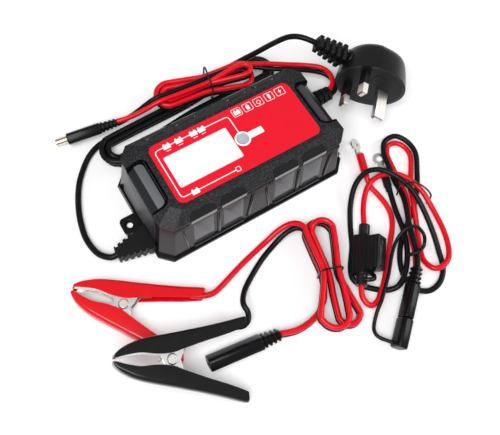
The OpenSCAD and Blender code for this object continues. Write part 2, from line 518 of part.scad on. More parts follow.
// Two-pole connectors, cord end at the origin, mating end towards +X
module ribbed_tail(f = 1) {
  rotate([0, 90, 0]) loft([quad(-4 * f, 4 * f, -2.4 * f, 2.4 * f, 0), quad(-4.6 * f, 4.6 * f, -3.2 * f, 3.2 * f, 12.2)]);
  for (k = [0:3]) {
    block(0.8 + 3 * k, 2.4 + 3 * k, -(3.2 + 0.2 * k) * f, (3.2 + 0.2 * k) * f, -(5 + 0.25 * k) * f, (5 + 0.25 * k) * f);
  }
}
function slab(y, z, x, c = 1.4) = [[x, -y, c - z], [x, c - y, -z], [x, y - c, -z], [x, y, c - z],
  [x, y, z - c], [x, y - c, z], [x, c - y, z], [x, -y, z - c]];
module shank(x0, x1, y, z) {
  loft([slab(y, z, x0), slab(y, z, x1)]);
}
module dc_connector_place() {
  translate([-51.6, 71.5, 7]) rotate([0, 0, 173]) rotate([-32, 0, 0]) children();
}
module dc_connector() color([0.04, 0.04, 0.04]) dc_connector_place() difference() {
  union() {
    ribbed_tail();
    shank(12, 36, 4.1, 6.1);
  }
  translate([20, 0, 3]) rotate([0, 90, 0]) cylinder(h = 20, r = 1.9, $fn = 20);
}
module clip_connector_place() {
  translate([-32, -110.8, 7]) rotate([0, 0, 172]) rotate([-32, 0, 0]) children();
}
module clip_connector() color([0.04, 0.04, 0.04]) clip_connector_place() difference() {
  union() {
    ribbed_tail();
    shank(12, 47, 4.1, 6.1);
  }
  for (z = [-3, 3]) {
    translate([31, 0, z]) rotate([0, 90, 0]) cylinder(h = 20, r = 2, $fn = 20);
  }
}
module ring_connector_place() {
  translate([66.8, -120, 9.9]) rotate([0, 0, 220.5]) rotate([-22, 3, 0]) children();
}
module ring_connector() color([0.04, 0.04, 0.04]) ring_connector_place() {
  ribbed_tail(0.85);
  shank(12, 34.5, 3.5, 5.2);
  shank(34.4, 48, 2.5, 3.9);
}
module dust_cap() color([0.03, 0.03, 0.03]) ring_connector_place() difference() {
  shank(34.8, 53.5, 3.8, 5.4);
  shank(34.4, 51.9, 2.6, 4);
}
module connector_contacts() color([0.85, 0.8, 0.7]) {
  dc_connector_place() {
    translate([18, 0, -3]) rotate([0, 90, 0]) cylinder(h = 26, r = 2.6, $fn = 24);
    translate([18, 0, 3]) rotate([0, 90, 0]) cylinder(h = 10, r = 1.7, $fn = 20);
  }
  clip_connector_place() for (z = [-3, 3]) {
    translate([18, 0, z]) rotate([0, 90, 0]) cylinder(h = 18, r = 1.7, $fn = 20);
  }
  ring_connector_place() for (z = [-2, 2]) {
    translate([38, 0, z]) rotate([0, 90, 0]) cylinder(h = 10.8, r = 1.2, $fn = 16);
  }
}
module cap_tether() color([0.03, 0.03, 0.03]) {
  tube(tether, 1.2, 8);
}

// Clip lead
module clip_lead_red() color([0.8, 0.04, 0.08]) {
  tube(pair_side(clip_in_all, flat_roll(clip_in_all), pitch / 2), wire_r);
  tube(concat([clip_red_loops[51]], clip_red), wire_r);
}
module clip_lead_black() color([0.04, 0.04, 0.04]) {
  tube(pair_side(clip_in_all, flat_roll(clip_in_all), -pitch / 2), wire_r);
  tube(concat([clip_black_loops[51]], clip_black), wire_r);
}
module clip_hank_red() color([0.8, 0.04, 0.08]) {
  tube(clip_red_loops, wire_r, 6);
}
module clip_hank_black() color([0.04, 0.04, 0.04]) {
  tube(clip_black_loops, wire_r, 6);
}

// Battery clips: nose towards -X, tails towards +X, rivet at the origin
module red_clip_place() {
  translate([-105.9, -47.6, 5.7]) rotate([0, 0, -46.9]) children();
}
module black_clip_place() {
  translate([-97.3, -93.3, 18.7]) rotate([8, 12.7, -27]) children();
}
grip_edge = [[-34, 0.6], [-33.4, 2.6], [-31, 5.4], [-27, 8], [-20, 10.9], [-10, 13.2], [3.5, 15.6], [17.4, 18.3],
  [31, 21.3], [43.5, 24.4], [45.4, 23.4], [44.8, 18.8], [43.2, 17.8], [33, 14.2], [21, 10.6], [7, 6], [0, 3.6],
  [-6, 2.7], [-12, 3.4], [-18, 3.7], [-25, 2.8], [-31, 1.4]];
cavity_edge = [[-32.2, 1.6], [-31.6, 2.8], [-29.6, 4.6], [-26, 6.7], [-19.4, 9.4], [-9.6, 11.5], [3.8, 14], [17.7, 16.7],
  [31, 19.6], [42, 22.2], [42, 10], [10, 2], [2, 0.5], [-6, 0.5], [-12, 2], [-18, 2.4], [-25, 1.2]];
jaw_edge = [[-32.6, 0.5], [-31.4, 2.4], [-29.3, 4.2], [-25.7, 6.3], [-19.2, 9], [-9.4, 11.1], [4, 13.6], [8, 14.4], [8, 10],
  [6, 3], [3.5, -4], [-1, -4.6], [-4, -2.6], [-7, 1.5], [-12, 2.5], [-18, 2.8], [-25, 1.9], [-31, 0.7]];
bridge_edge = [[-31.9, 1.2], [-31.3, 2.4], [-29.3, 4.2], [-25.7, 6.3], [-19.2, 9], [-11, 10.8], [-11, 9.9], [-19.2, 8.1],
  [-25.7, 5.4], [-29, 3.3], [-31, 1.3]];
jaw_t = 0.8;
module grip() difference() {
  translate([0, 0, -grip_t / 2]) linear_extrude(height = grip_t) polygon(grip_edge);
  translate([0, 0, -4.25]) linear_extrude(height = 8.5) polygon(cavity_edge);
}
module jaw(z) difference() {
  union() {
    for (s = [-1, 1]) {
      translate([0, 0, s * z - jaw_t / 2]) linear_extrude(height = jaw_t) polygon(jaw_edge);
    }
    translate([0, 0, -z]) linear_extrude(height = 2 * z) polygon(bridge_edge);
  }
  rod(0, 0, -8, 8, rivet_d / 2 + 0.06);
}
module lower() {
  mirror([0, 1, 0]) children();
}
module red_upper_grip() color([0.8, 0.05, 0.08]) red_clip_place() grip();
module red_lower_grip() color([0.8, 0.05, 0.08]) red_clip_place() lower() grip();
module black_upper_grip() color([0.04, 0.04, 0.04]) black_clip_place() grip();
module black_lower_grip() color([0.04, 0.04, 0.04]) black_clip_place() lower() grip();
module fixed_jaws() color([0.75, 0.75, 0.76]) {
  red_clip_place() jaw(3.75);
  black_clip_place() jaw(3.75);
}
module red_moving_jaw() color([0.75, 0.75, 0.76]) red_clip_place() lower() jaw(2.7);
module black_moving_jaw() color([0.75, 0.75, 0.76]) black_clip_place() lower() jaw(2.7);
module rivet() {
  rod(0, 0, -4.2, 4.2, rivet_d / 2);
  for (s = [0, 180]) {
    rotate([s, 0, 0]) translate([0, 0, 4.16]) cylinder(h = 1, r1 = rivet_d / 2 + 1.4, r2 = rivet_d / 2 + 0.6);
  }
}
module clip_rivets() color([0.8, 0.8, 0.8]) {
  red_clip_place() rivet();
  black_clip_place() rivet();
}
function coil(r, n, rise) = [for (i = [0:8 * n]) [r * cos(45 * i - 60), r * sin(45 * i - 60), -rise / 2 + rise * i / (8 * n)]];
spring_route = concat([[14, -9.6, -1.6], [8, -7.2, -1.6]], coil(3.3, 3, 3.2), [[8.6, 7.4, 1.6], [14.6, 9.8, 1.6]]);
module coil_spring() {
  n = len(spring_route);
  polyhedron(points = [for (i = [0:n - 1]) each spring_ring(i)],
    faces = concat([[for (j = [0:5]) j]], [[for (j = [5:-1:0]) (n - 1) * 6 + j]],
      [for (i = [0:n - 2]) for (j = [0:5]) each [
        [i * 6 + j, (i + 1) * 6 + j, (i + 1) * 6 + (j + 1) % 6],
        [i * 6 + j, (i + 1) * 6 + (j + 1) % 6, i * 6 + (j + 1) % 6]]]));
}
function spring_ring(i) = ring_pts(spring_route[i], tangent(spring_route, i), 0.45, 6);
module red_spring() color([0.7, 0.7, 0.7]) red_clip_place() coil_spring();
module black_spring() color([0.7, 0.7, 0.7]) black_clip_place() coil_spring();

// Ring-terminal lead
module ring_lead_red() color([0.8, 0.04, 0.08]) {
  tube(ring_red, wire_r);
  tube(ring_red_end, wire_r);
}
module ring_lead_black() color([0.04, 0.04, 0.04]) {
  tube(ring_black, wire_r);
}
// Holder frame: X along the lead, -Y the way the cap comes off, tipped up from the table
holder_a = 51;
holder_tip = 43.7;
holder_x = 13;
cap_s = 4.8;
module holder_place() {
  translate([42.1, -95.6, 7.9]) rotate([0, 0, holder_a]) rotate([-holder_tip, 0, 0]) mirror([0, 1, 0]) children();
}
module fuse_holder() color([0.04, 0.04, 0.04]) holder_place() difference() {
  union() {
    block(-holder_x, holder_x, -6, cap_s - 0.2, -4.3, 4.3);
    block(-9.6, 9.6, cap_s - 0.3, cap_s + 1.6, -3.2, 3.2);
    for (y = [-4.6, -2.2, 0.2, 2.6]) {
      block(0.8 - holder_x, holder_x - 0.8, y - 0.5, y + 0.5, -4.8, 4.8);
    }
    for (s = [-1, 1]) {
      translate([s * (holder_x - 0.1), 0, 0]) rotate([0, s * 90, 0]) cylinder(h = 7.8, r = 3.7, $fn = 24);
    }
  }
  for (x = [-5.4, 5.4]) {
    block(x - 2.65, x + 2.65, -2, cap_s + 2, -0.45, 0.45);
  }
}
module fuse_cap() color([0.05, 0.05, 0.05]) holder_place() difference() {
  union() {
    block(-cap_l / 2, cap_l / 2, cap_s, cap_s + cap_h, -4.6, 4.6);
    for (y = [0.22, 0.48, 0.74]) {
      block(0.6 - cap_l / 2, cap_l / 2 - 0.6, cap_s + cap_h * y - 0.5, cap_s + cap_h * y + 0.5, -5, 5);
    }
  }
  block(-9.7, 9.7, cap_s - 0.1, cap_s + 1.8, -3.3, 3.3);
  block(-9.7, 9.7, cap_s + 1.7, cap_s + cap_h - 1.2, -2.7, 2.7);
}
module blade_fuse() color([0.9, 0.5, 0.1]) holder_place() {
  block(-9.4, 9.4, cap_s + 1.6, cap_s + 6.6, -2.3, 2.3);
  for (x = [-5.4, 5.4]) {
    block(x - 2.6, x + 2.6, -1.6, cap_s + 1.7, -0.3, 0.3);
  }
}
module terminal(c, a, roll) {
  translate(c) rotate([0, 0, a]) rotate([roll, 0, 0]) {
    difference() {
      union() {
        rod(0, 0, 0, 1, 4.6);
        block(-8, -3, -2.2, 2.2, 0, 1);
      }
      rod(0, 0, -1, 3, 2.15);
    }
    translate([-7.4, 0, 1.7]) rotate([0, -90, 0]) cylinder(h = 9, r = 2.1, $fn = 20);
  }
}
module sleeve(c, a, roll) {
  translate(c) rotate([0, 0, a]) rotate([roll, 0, 0]) translate([-8.6, 0, 1.7]) rotate([0, -90, 0]) difference() {
    union() {
      cylinder(h = 13.4, r = 2.8, $fn = 24);
      cylinder(h = 16.6, r = 2.3, $fn = 24);
    }
    translate([0, 0, -1]) cylinder(h = 9, r = 2.15, $fn = 24);
  }
}
ring_a = [87.5, -25.6, 3];
ring_b = [96.3, -42.8, 1.3];
ring_a_roll = 36;
module ring_terminals() color([0.8, 0.8, 0.82]) {
  terminal(ring_a, 69, ring_a_roll);
  terminal(ring_b, 69, 0);
}
module terminal_sleeves() color([0.5, 0.05, 0.06]) {
  sleeve(ring_a, 69, ring_a_roll);
  sleeve(ring_b, 69, 0);
}

// Ties round the leads
function arch(c, a, w0, w1, z0, z1) = spin_move([[0, w0 + 2.4, z0], [0, w0, z0 + 0.3], [0, w0 - 0.3, z0 + 3.4], [0, w0, z1 - 2.6], [0, w0 + 2.4, z1],
  [0, w1 - 2.4, z1], [0, w1, z1 - 2.6], [0, w1 + 0.3, z0 + 3.4], [0, w1, z0 + 0.3], [0, w1 - 2.4, z0]], a, c);
module tie_loop(p, along) {
  n = len(p);
  polyhedron(points = [for (i = [0:n - 1]) each tie_ring(p, i, along)],
    faces = concat([[for (j = [0:5]) j]], [[for (j = [5:-1:0]) (n - 1) * 6 + j]],
      [for (i = [0:n - 2]) for (j = [0:5])
        [i * 6 + j, (i + 1) * 6 + j, (i + 1) * 6 + (j + 1) % 6, i * 6 + (j + 1) % 6]]));
}
function tie_ring(p, i, along) = let (t = tangent(p, i), a = unit(cross(t, cross([cos(along), sin(along), 0], t))), b = cross(t, a))
  [for (j = [0:5]) p[i] + 0.6 * (cos(60 * j) * a + sin(60 * j) * b)];
module ties() color([0.03, 0.03, 0.03]) {
  tie_loop(arch([dc_mid[0] + 2, dc_mid[1] - 0.4], dc_spin, -9.6, 11.4, 9.7, 24.6), dc_spin);
  tie_loop(spin_move([[0, -6.3, 0.8], [0, -6.6, 6], [0, -6.5, 13], [0, -4.4, 16.8], [0, 6.6, 16.8], [0, 8.7, 13], [0, 8.8, 6], [0, 8.5, 0.8]], clip_spin, clip_mid), clip_spin);
}

base_tray();
side_panels();
top_cover();
housing_seal();
label_panel();
window_lens();
lcd_module();
display_board();
mode_button();
mode_switch();
main_board();
transformer();
capacitors();
line_choke();
heatsink();
power_transistors();
bridge_rectifier();
housing_screws();
mains_gland();
mains_lead();
mains_hank();
plug_shell();
plug_face();
plug_pins();
fuse_carrier();
plug_fuse();
plug_relief();
dc_gland();
dc_lead_red();
dc_lead_black();
dc_hank_red();
dc_hank_black();
dc_connector();
clip_connector();
clip_lead_red();
clip_lead_black();
clip_hank_red();
clip_hank_black();
red_upper_grip();
red_lower_grip();
black_upper_grip();
black_lower_grip();
fixed_jaws();
red_moving_jaw();
black_moving_jaw();
clip_rivets();
red_spring();
black_spring();
ring_connector();
dust_cap();
cap_tether();
ring_lead_red();
ring_lead_black();
fuse_holder();
fuse_cap();
blade_fuse();
ring_terminals();
terminal_sleeves();
connector_contacts();
ties();
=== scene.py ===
import math
import bpy
import numpy as np
from mathutils import Matrix


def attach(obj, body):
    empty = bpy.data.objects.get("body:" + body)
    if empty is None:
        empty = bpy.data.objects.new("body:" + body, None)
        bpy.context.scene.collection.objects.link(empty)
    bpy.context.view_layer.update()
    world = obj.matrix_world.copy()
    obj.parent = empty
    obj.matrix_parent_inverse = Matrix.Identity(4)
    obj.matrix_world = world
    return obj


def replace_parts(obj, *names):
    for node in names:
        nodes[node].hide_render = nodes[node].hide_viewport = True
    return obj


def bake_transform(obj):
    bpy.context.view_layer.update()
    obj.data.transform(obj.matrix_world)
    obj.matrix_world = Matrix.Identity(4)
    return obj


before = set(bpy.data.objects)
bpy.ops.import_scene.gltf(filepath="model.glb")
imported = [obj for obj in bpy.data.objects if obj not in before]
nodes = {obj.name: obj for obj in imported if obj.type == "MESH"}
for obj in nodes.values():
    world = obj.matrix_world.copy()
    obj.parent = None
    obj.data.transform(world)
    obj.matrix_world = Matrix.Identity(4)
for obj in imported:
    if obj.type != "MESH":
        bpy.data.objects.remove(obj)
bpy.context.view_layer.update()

# ---------------------------------------------------------------- camera
# A studio camera high above the front left corner, looking down on the bench, its view
# shifted a little to one side and up.


def stood(x, y, z, place):
    """Matrix of an object whose axes point along x, y and z, standing at place."""
    m = Matrix.Identity(4)
    for row in range(3):
        m[row][0], m[row][1], m[row][2], m[row][3] = x[row], y[row], z[row], place[row]
    return m


right = np.array([0.8574, -0.5125, 0.0467])
down = np.array([-0.4248, -0.7560, -0.4979])
forward = np.array([0.2905, 0.4071, -0.8660])
camera_data = bpy.data.cameras.new("bench_camera")
camera_data.sensor_width = 36.0
camera_data.lens = 52.29
camera_data.shift_x = 0.0404
camera_data.shift_y = -0.1822
camera_data.clip_start = 0.01
camera_data.clip_end = 20.0
camera = bpy.data.objects.new("bench_camera", camera_data)
bpy.context.scene.collection.objects.link(camera)
camera.matrix_world = stood(right, -down, -forward, (-0.133076, -0.179927, 0.452553))
bpy.context.scene.camera = camera
bpy.context.scene.view_settings.view_transform = "Standard"

# ---------------------------------------------------------------- leads
# Nine PVC leads: a round mains cable, the single conductors of three pairs, and the dust cap's
# strap. They are routed first, because everything else is laid out round them. Each route is a
# list of points on its centre line, smoothed and then given a round section.


def smooth(points, steps):
    """Catmull-Rom line through points: each gap becomes steps short straights of a cubic."""
    p = np.asarray(points, float)
    q = np.vstack([2 * p[0] - p[1], p, 2 * p[-1] - p[-2]])
    t = np.arange(steps) / steps
    basis = 0.5 * np.stack([-t + 2 * t**2 - t**3, 2 - 5 * t**2 + 3 * t**3,
        t + 4 * t**2 - 3 * t**3, t**3 - t**2], 1)
    windows = np.stack([q[:-3], q[1:-2], q[2:-1], q[3:]], 1)
    line = np.einsum("sk,nkd->nsd", basis, windows).reshape(-1, p.shape[1])
    return np.vstack([line, p[-1]])


def frames(line):
    """Unit direction, sideways and upright vectors along a line, upright as near +Z as they go."""
    t = np.gradient(line, axis=0)
    t /= np.linalg.norm(t, axis=1)[:, None]
    side = np.cross([0.0, 0.0, 1.0], t)
    side /= np.maximum(np.linalg.norm(side, axis=1)[:, None], 1e-9)
    return t, side, np.cross(t, side)


def merged(name, parts, open_parts=()):
    """One mesh from several ring stacks in millimetres: neighbouring rings are joined by quads.
    Each stack is closed by a flat face at both ends, but the last ring of one in open_parts joins
    its first."""
    points, faces, base = [], [], 0
    for part, rings in enumerate([*parts, *open_parts]):
        rings = np.asarray(rings, float) / 1000
        n, m = rings.shape[:2]
        hoop = part >= len(parts)
        i, j = np.arange(n if hoop else n - 1)[:, None] * m, np.arange(m)[None, :]
        k, up = (j + 1) % m, (i + m) % (n * m)
        faces += (np.stack([i + j, i + k, up + k, up + j], -1).reshape(-1, 4) + base).tolist()
        if not hoop:
            first = base + np.arange(m)
            faces += [first[::-1].tolist(), (first + (n - 1) * m).tolist()]
        points.append(rings.reshape(-1, 3))
        base += n * m
    mesh = bpy.data.meshes.new(name)
    mesh.from_pydata(np.vstack(points).tolist(), [], faces)
    mesh.update()
    return mesh


def put(name, mesh, material, body="housing", smooth_angle=35.0):
    """Object at the origin with that mesh and material, shaded smooth up to an angle in degrees.
    It rides on a body or, with None, on nothing yet."""
    piece = bpy.data.objects.new(name, mesh)
    bpy.context.scene.collection.objects.link(piece)
    mesh.materials.clear()
    mesh.materials.append(material)
    mesh.shade_smooth()
    mesh.set_sharp_from_angle(angle=math.radians(smooth_angle))
    if body:
        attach(piece, body)
    return piece


def tube_rings(line, radius, sides):
    """Circles of that radius square to the line, one round each of its points."""
    _, side, up = frames(line)
    a = np.linspace(0, 2 * np.pi, sides, endpoint=False)[:, None]
    return line[:, None] + radius * (np.cos(a) * side[:, None] + np.sin(a) * up[:, None])


def skin(name, colour, rough, mottle, coat=0.0, grain=0.05, scale=900.0, metal=0.0, edge=0.0,
        shine=0.28):
    """A solid surface: its colour varied by a soft noise of strength mottle, a bump of fine noise
    of strength grain, a clear coat, a mirror share of shine, and edges that catch the light over
    a radius of edge metres."""
    m = bpy.data.materials.new(name)
    m.use_nodes = True
    tree = m.node_tree
    bsdf = tree.nodes["Principled BSDF"]
    place = tree.nodes.new("ShaderNodeTexCoord")
    soft = tree.nodes.new("ShaderNodeTexNoise")
    soft.inputs["Scale"].default_value = 180.0
    soft.inputs["Detail"].default_value = 4.0
    ramp = tree.nodes.new("ShaderNodeValToRGB")
    ramp.color_ramp.elements[0].position = 0.3
    ramp.color_ramp.elements[1].position = 0.7
    ramp.color_ramp.elements[0].color = (*[c * (1 - mottle) for c in colour], 1)
    ramp.color_ramp.elements[1].color = (*[min(1, c * (1 + mottle)) for c in colour], 1)
    fine = tree.nodes.new("ShaderNodeTexNoise")
    fine.inputs["Scale"].default_value = scale
    fine.inputs["Detail"].default_value = 3.0
    bump = tree.nodes.new("ShaderNodeBump")
    bump.inputs["Strength"].default_value = grain
    bump.inputs["Distance"].default_value = 0.0002
    tree.links.new(place.outputs["Object"], soft.inputs["Vector"])
    tree.links.new(place.outputs["Object"], fine.inputs["Vector"])
    tree.links.new(soft.outputs["Fac"], ramp.inputs["Fac"])
    tree.links.new(ramp.outputs["Color"], bsdf.inputs["Base Color"])
    tree.links.new(fine.outputs["Fac"], bump.inputs["Height"])
    tree.links.new(bump.outputs["Normal"], bsdf.inputs["Normal"])
    if edge:
        soften = tree.nodes.new("ShaderNodeBevel")
        soften.samples = 4
        soften.inputs["Radius"].default_value = edge
        tree.links.new(soften.outputs["Normal"], bump.inputs["Normal"])
    bsdf.inputs["Roughness"].default_value = rough
    bsdf.inputs["Specular IOR Level"].default_value = 0.5 if metal else shine
    bsdf.inputs["Metallic"].default_value = metal
    bsdf.inputs["Coat Weight"].default_value = coat
    bsdf.inputs["Coat Roughness"].default_value = 0.12
    return m


def hank(start, stop, span, waist, way, radius, height):
    """Hank centre line from point start to point stop, 24 points to a loop: 4 along a run, 8
    round a half circle, 4 along the other run and 8 round. The runs are span long and drawn in
    by waist at their middle, way is 1 or -1 for the sense of winding, and radius(t) and
    height(t) change with the loops made."""
    i = np.arange(start, stop + 1)
    t, q = i / 24, i % 24
    r, z = np.vectorize(radius)(t), np.vectorize(height)(t)
    far, near = np.radians(22.5) * (q - 4), np.radians(22.5) * (q - 16)
    parts = [q <= 4, q < 12, q <= 16]
    x = np.select(parts, [span / 2 - span * q / 4, -span / 2 - r * np.sin(far),
        -span / 2 + span * (q - 12) / 4], span / 2 + r * np.sin(near))
    w = waist * np.cos(np.pi * x / span) ** 2
    y = np.select(parts, [r - w, r * np.cos(far), w - r], -r * np.cos(near))
    return np.stack([x, way * y, z], 1)


def turned(points, angle, centre):
    """Points turned by angle in degrees about Z and moved to centre, heights kept."""
    p = np.asarray(points, float)
    a = math.radians(angle)
    return np.stack([centre[0] + p[:, 0] * math.cos(a) - p[:, 1] * math.sin(a),
        centre[1] + p[:, 0] * math.sin(a) + p[:, 1] * math.cos(a), p[:, 2]], 1)


def beside(line, roll, distance):
    """One conductor of a pair: the line moved by distance towards upright, rolled over sideways."""
    t, side, up = frames(line)
    a = np.radians(roll)[:, None]
    return line + distance * (np.cos(a) * up + np.sin(a) * side)


# Routes are in millimetres and loops of a hank are counted from the start of its route. A lead
# that lies on the bench has its centre line at half its thickness. The pairs' hanks climb in
# steps of whole millimetres.
black_pvc = skin("black_cable_pvc", (0.005, 0.005, 0.006), 0.38, 0.25, coat=0.08, shine=0.16)
red_pvc = skin("red_cable_pvc", (0.74, 0.002, 0.012), 0.34, 0.08, coat=0.1)
wire_d, mains_d, pitch = 3.7, 4.1, 3.75
dc_angle, dc_centre = -12, (16, 63)

mains_turns = turned(hank(12, 86, 122, 3, -1,
    lambda t: 12.3 - 4.5 * (t - 0.5) if t <= 2 else 5.55 + 4.5 * max(t - 2.3, 0),
    lambda t: np.interp(t, [2, 2.3], [2.1, 6.7])), 5, (0, 57.5))
mains_in = [(-93, -16, 6.8), (-99, -15.5, 6), (-105, -8, 4), (-107, 5, 2.1), (-105, 18, 2.1),
    (-101, 30, 2.1), (-95, 42, 2.1), (-88, 51, 2.1), (-80, 58.5, 2.1), (-71, 63.2, 2.1)]
mains_out = [(16, 69.2, 6.8), (31, 71.8, 6.8), (42, 73, 8), (52, 71.5, 12), (61, 67.5, 20),
    (70, 61.5, 32), (77, 55.5, 42), (82.5, 49.5, 46.2), (88.2, 42.5, 46.2), (94.8, 35.8, 42.1)]
dc_turns = turned(hank(0, 40, 54, 3, 1, lambda t: 11 - 4.3 * t,
    lambda t: 14 + int(46.8 * max(t - 1.5, 0))), dc_angle, dc_centre)
dc_in = [(90, 16, 12), (95.5, 17.2, 12), (100, 21.5, 12), (101, 29, 12), (97.5, 36, 12),
    (89, 42.5, 12.4), (78, 49, 12.8), (66, 56, 13.4), (55, 62.5, 14)]
dc_in_roll = [80, 70, 40, 0, -40, -70, -70, -40, 0]
dc_out = [(31.5, -2.9, 21.8), (33.2, 0.6, 21.8), (30.5, 4, 21.8), (24, 4.6, 21.8), (12, 3, 21),
    (0, 1, 19.9), (-14, -1, 19.7), (-28, -2.8, 19.7), (-37, -3.9, 19.5), (-44, -4.6, 16.4),
    (-50, -5.1, 13), (-56, -5.5, 10.2), (-62, -5.8, 8), (-68, -6, 7)]
dc_out_roll = [0, 0, 0, 20, 60, 90, 90, 90, 90, 80, 60, 40, 20, 0]
clip_flat = hank(13, 64, 54, 4, -1,
    lambda t: 10.6 - 4.4 * (t - 0.5) if t < 1.5 else 6.2 + 4.4 * max(t - 1.7, 0),
    lambda t: int(np.interp(t, [1.5, 1.75], [4, 12.2])))
# The clip lead's last loops fan out to one side towards the end of the hank, and its first one
# to the other side.
clip_i = np.arange(13, 65)
fan_start, fan_reach = 6, 33
clip_fan = np.where(clip_i > 46, 6.0, np.where((clip_i > 24) & (clip_i < 42), -3.2, 0.0))
clip_flat[:, 1] += clip_fan * np.clip((fan_start - clip_flat[:, 0]) / fan_reach, 0, 1) ** 1.5
clip_turns = turned(clip_flat, 71, (18, -95))
clip_in = [(-33.5, -110.2, 5.6), (-23, -113.7, 4.6), (-14, -114.2, 4), (-5, -112.4, 4),
    (1, -109, 4)]
clip_red = [(17.8, -62.2, 13.8), (16, -57.8, 12.6), (11.5, -54.6, 10), (4, -53.6, 6.4),
    (-5, -54.9, 3), (-15, -57, 2), (-27, -60, 2), (-38, -63.5, 2.8), (-47, -66.6, 4.3),
    (-54.2, -68.2, 5.2), (-60.9, -66.4, 5.5), (-67.2, -62.1, 5.5)]
clip_black = [(17.6, -62.8, 10), (15.8, -59.6, 9.2), (12, -57.8, 7.6), (6.5, -57.4, 5),
    (-3, -59.5, 2.3), (-15, -64, 2), (-27, -70.5, 3.4), (-36.5, -77, 6.4), (-42.4, -84.4, 11.9),
    (-42.7, -90.5, 11.3), (-45.2, -94.8, 11.1), (-49.3, -96.2, 11.3), (-53.2, -95.1, 12.1),
    (-56.4, -93.7, 12.9)]
ring_black = [(66.5, -120.5, 11.4), (72.5, -112, 11.2), (76.5, -103, 11), (81, -93, 10.6),
    (87, -83, 9.2), (92, -73.5, 6), (94.7, -62.5, 3.6), (97.6, -51.5, 4.6), (101, -41, 4.6),
    (107.2, -34, 4.6), (116.5, -34.3, 4.6), (121.2, -42.5, 4.6), (120.7, -52.5, 4.3),
    (114, -63.5, 2.6), (105.3, -74.6, 2.1), (95.5, -83.5, 2.1), (84.5, -91.2, 2.1),
    (74, -98.3, 2.1), (66.5, -105.5, 2.1), (61, -114, 2.1), (58.8, -121.5, 2.1),
    (59.5, -128, 2.1), (63, -133, 2.1), (69, -135.8, 2.1), (77.5, -134.3, 2.1), (85, -128, 2.1),
    (89.5, -117.5, 3), (93, -107, 5), (95.5, -95.5, 7.5), (97, -84, 10), (97, -74, 11.5),
    (94.6, -64, 11.6), (90.5, -56, 11.6), (85, -51, 11.5), (77, -49, 10.6), (67, -52.5, 7.8),
    (57.5, -61.5, 4), (48.8, -74, 2.2), (42.1, -85.3, 1.9), (36.6, -92, 1.9), (31.8, -98, 1.9),
    (29.2, -104, 1.9), (31, -110, 1.9), (36, -115.5, 1.9), (41, -119.6, 2), (45.5, -122.5, 3.6),
    (51, -123.3, 5.8), (58.5, -119.5, 6), (66, -112.5, 6), (72.5, -103.5, 6), (77, -93.5, 6),
    (81.5, -81.5, 3.8), (85.3, -72, 3), (88, -65.2, 3), (89.4, -61.4, 3)]
ring_red = [(66.5, -120.5, 7.6), (72.5, -112, 7.4), (76.7, -103.2, 7.2), (82, -93.8, 6.9),
    (88.9, -84, 5.9), (95.1, -74.8, 2.8), (98.3, -63.2, 2.1), (100.8, -52.3, 2.1),
    (103.5, -42.5, 2.1), (108.2, -37.4, 2.1), (114.4, -38.2, 2.1), (118, -43.7, 2.1),
    (117.5, -51.5, 2.1), (111, -60.5, 2.1), (105.3, -67.3, 2.1), (101.3, -72.2, 2.3),
    (97.8, -77.5, 5.2), (94.5, -83, 6), (90.5, -91, 4.2), (84.5, -102, 2.1), (79.5, -111, 2.1),
    (76.7, -118, 3), (77.3, -124.8, 5.6), (82.3, -127.4, 6), (90, -125.5, 5.6), (97, -119, 2.6),
    (101.5, -109.5, 2.1), (104.2, -99, 2.1), (105.8, -88, 3), (105.6, -79, 5.6), (103.5, -69, 7),
    (98.5, -61, 7.7), (92.3, -57, 7.8), (85.5, -54.8, 7.2), (77.5, -55.8, 6.6), (69.5, -61, 6.4),
    (61.3, -70, 6.9), (54.6, -79.9, 7.8), (52.4, -82.9, 7.8)]
ring_red_end = [(31.5, -108.7, 7.8), (28.2, -112.8, 7.8), (25.6, -118.5, 7.3), (27, -124.5, 6.4),
    (33, -124.5, 5.9), (43, -117.5, 5.7), (54.5, -107.3, 3), (64.5, -97.3, 2.1),
    (73.3, -88.3, 2.1), (78, -80.5, 2.1), (79.5, -72, 2.1), (79, -64, 2.1), (78.2, -57, 2.3),
    (79.3, -49.6, 4.3), (80.4, -46.6, 4.4)]
tether = [(24.05, -148.25, 6), (20.8, -143.8, 5.2), (19.9, -140, 5), (21.8, -136, 5),
    (27.8, -130.2, 7.4), (34, -126, 9.5), (40, -121.2, 9.8), (48.5, -114.3, 9.6),
    (57.5, -105.6, 9.6), (65.4, -99.6, 9.8), (71.6, -96.9, 12.4), (77, -96.6, 14.8),
    (82.6, -99, 13.4), (84.6, -105, 10), (80.5, -110, 11), (75.6, -112.4, 14.9),
    (70.2, -112.8, 14.6), (65.6, -111, 11.6)]


def lead(name, line_mm, diameter_mm, material, cad,
        follow=None):
    """One lead: its smoothed centre line in metres carries a round section. It lies still on the
    housing or, with follow, rides on no body yet."""
    line = smooth(np.asarray(line_mm) / 1000, 4)
    mesh = merged(name, [tube_rings(line * 1000, diameter_mm / 2, 16)])
    piece = put(name, mesh, material, None if follow else "housing", 60)
    if follow:
        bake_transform(piece)
    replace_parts(piece, *cad)


def pair(before, roll_before, turns, after, roll_after, k):
    """Centre line of one conductor through a pair's free run, its hank and its free run."""
    line = np.vstack([np.asarray(before, float), turns, np.asarray(after, float)])
    roll = np.concatenate([roll_before, np.zeros(len(turns)), roll_after])
    return beside(line, roll, k * pitch / 2)


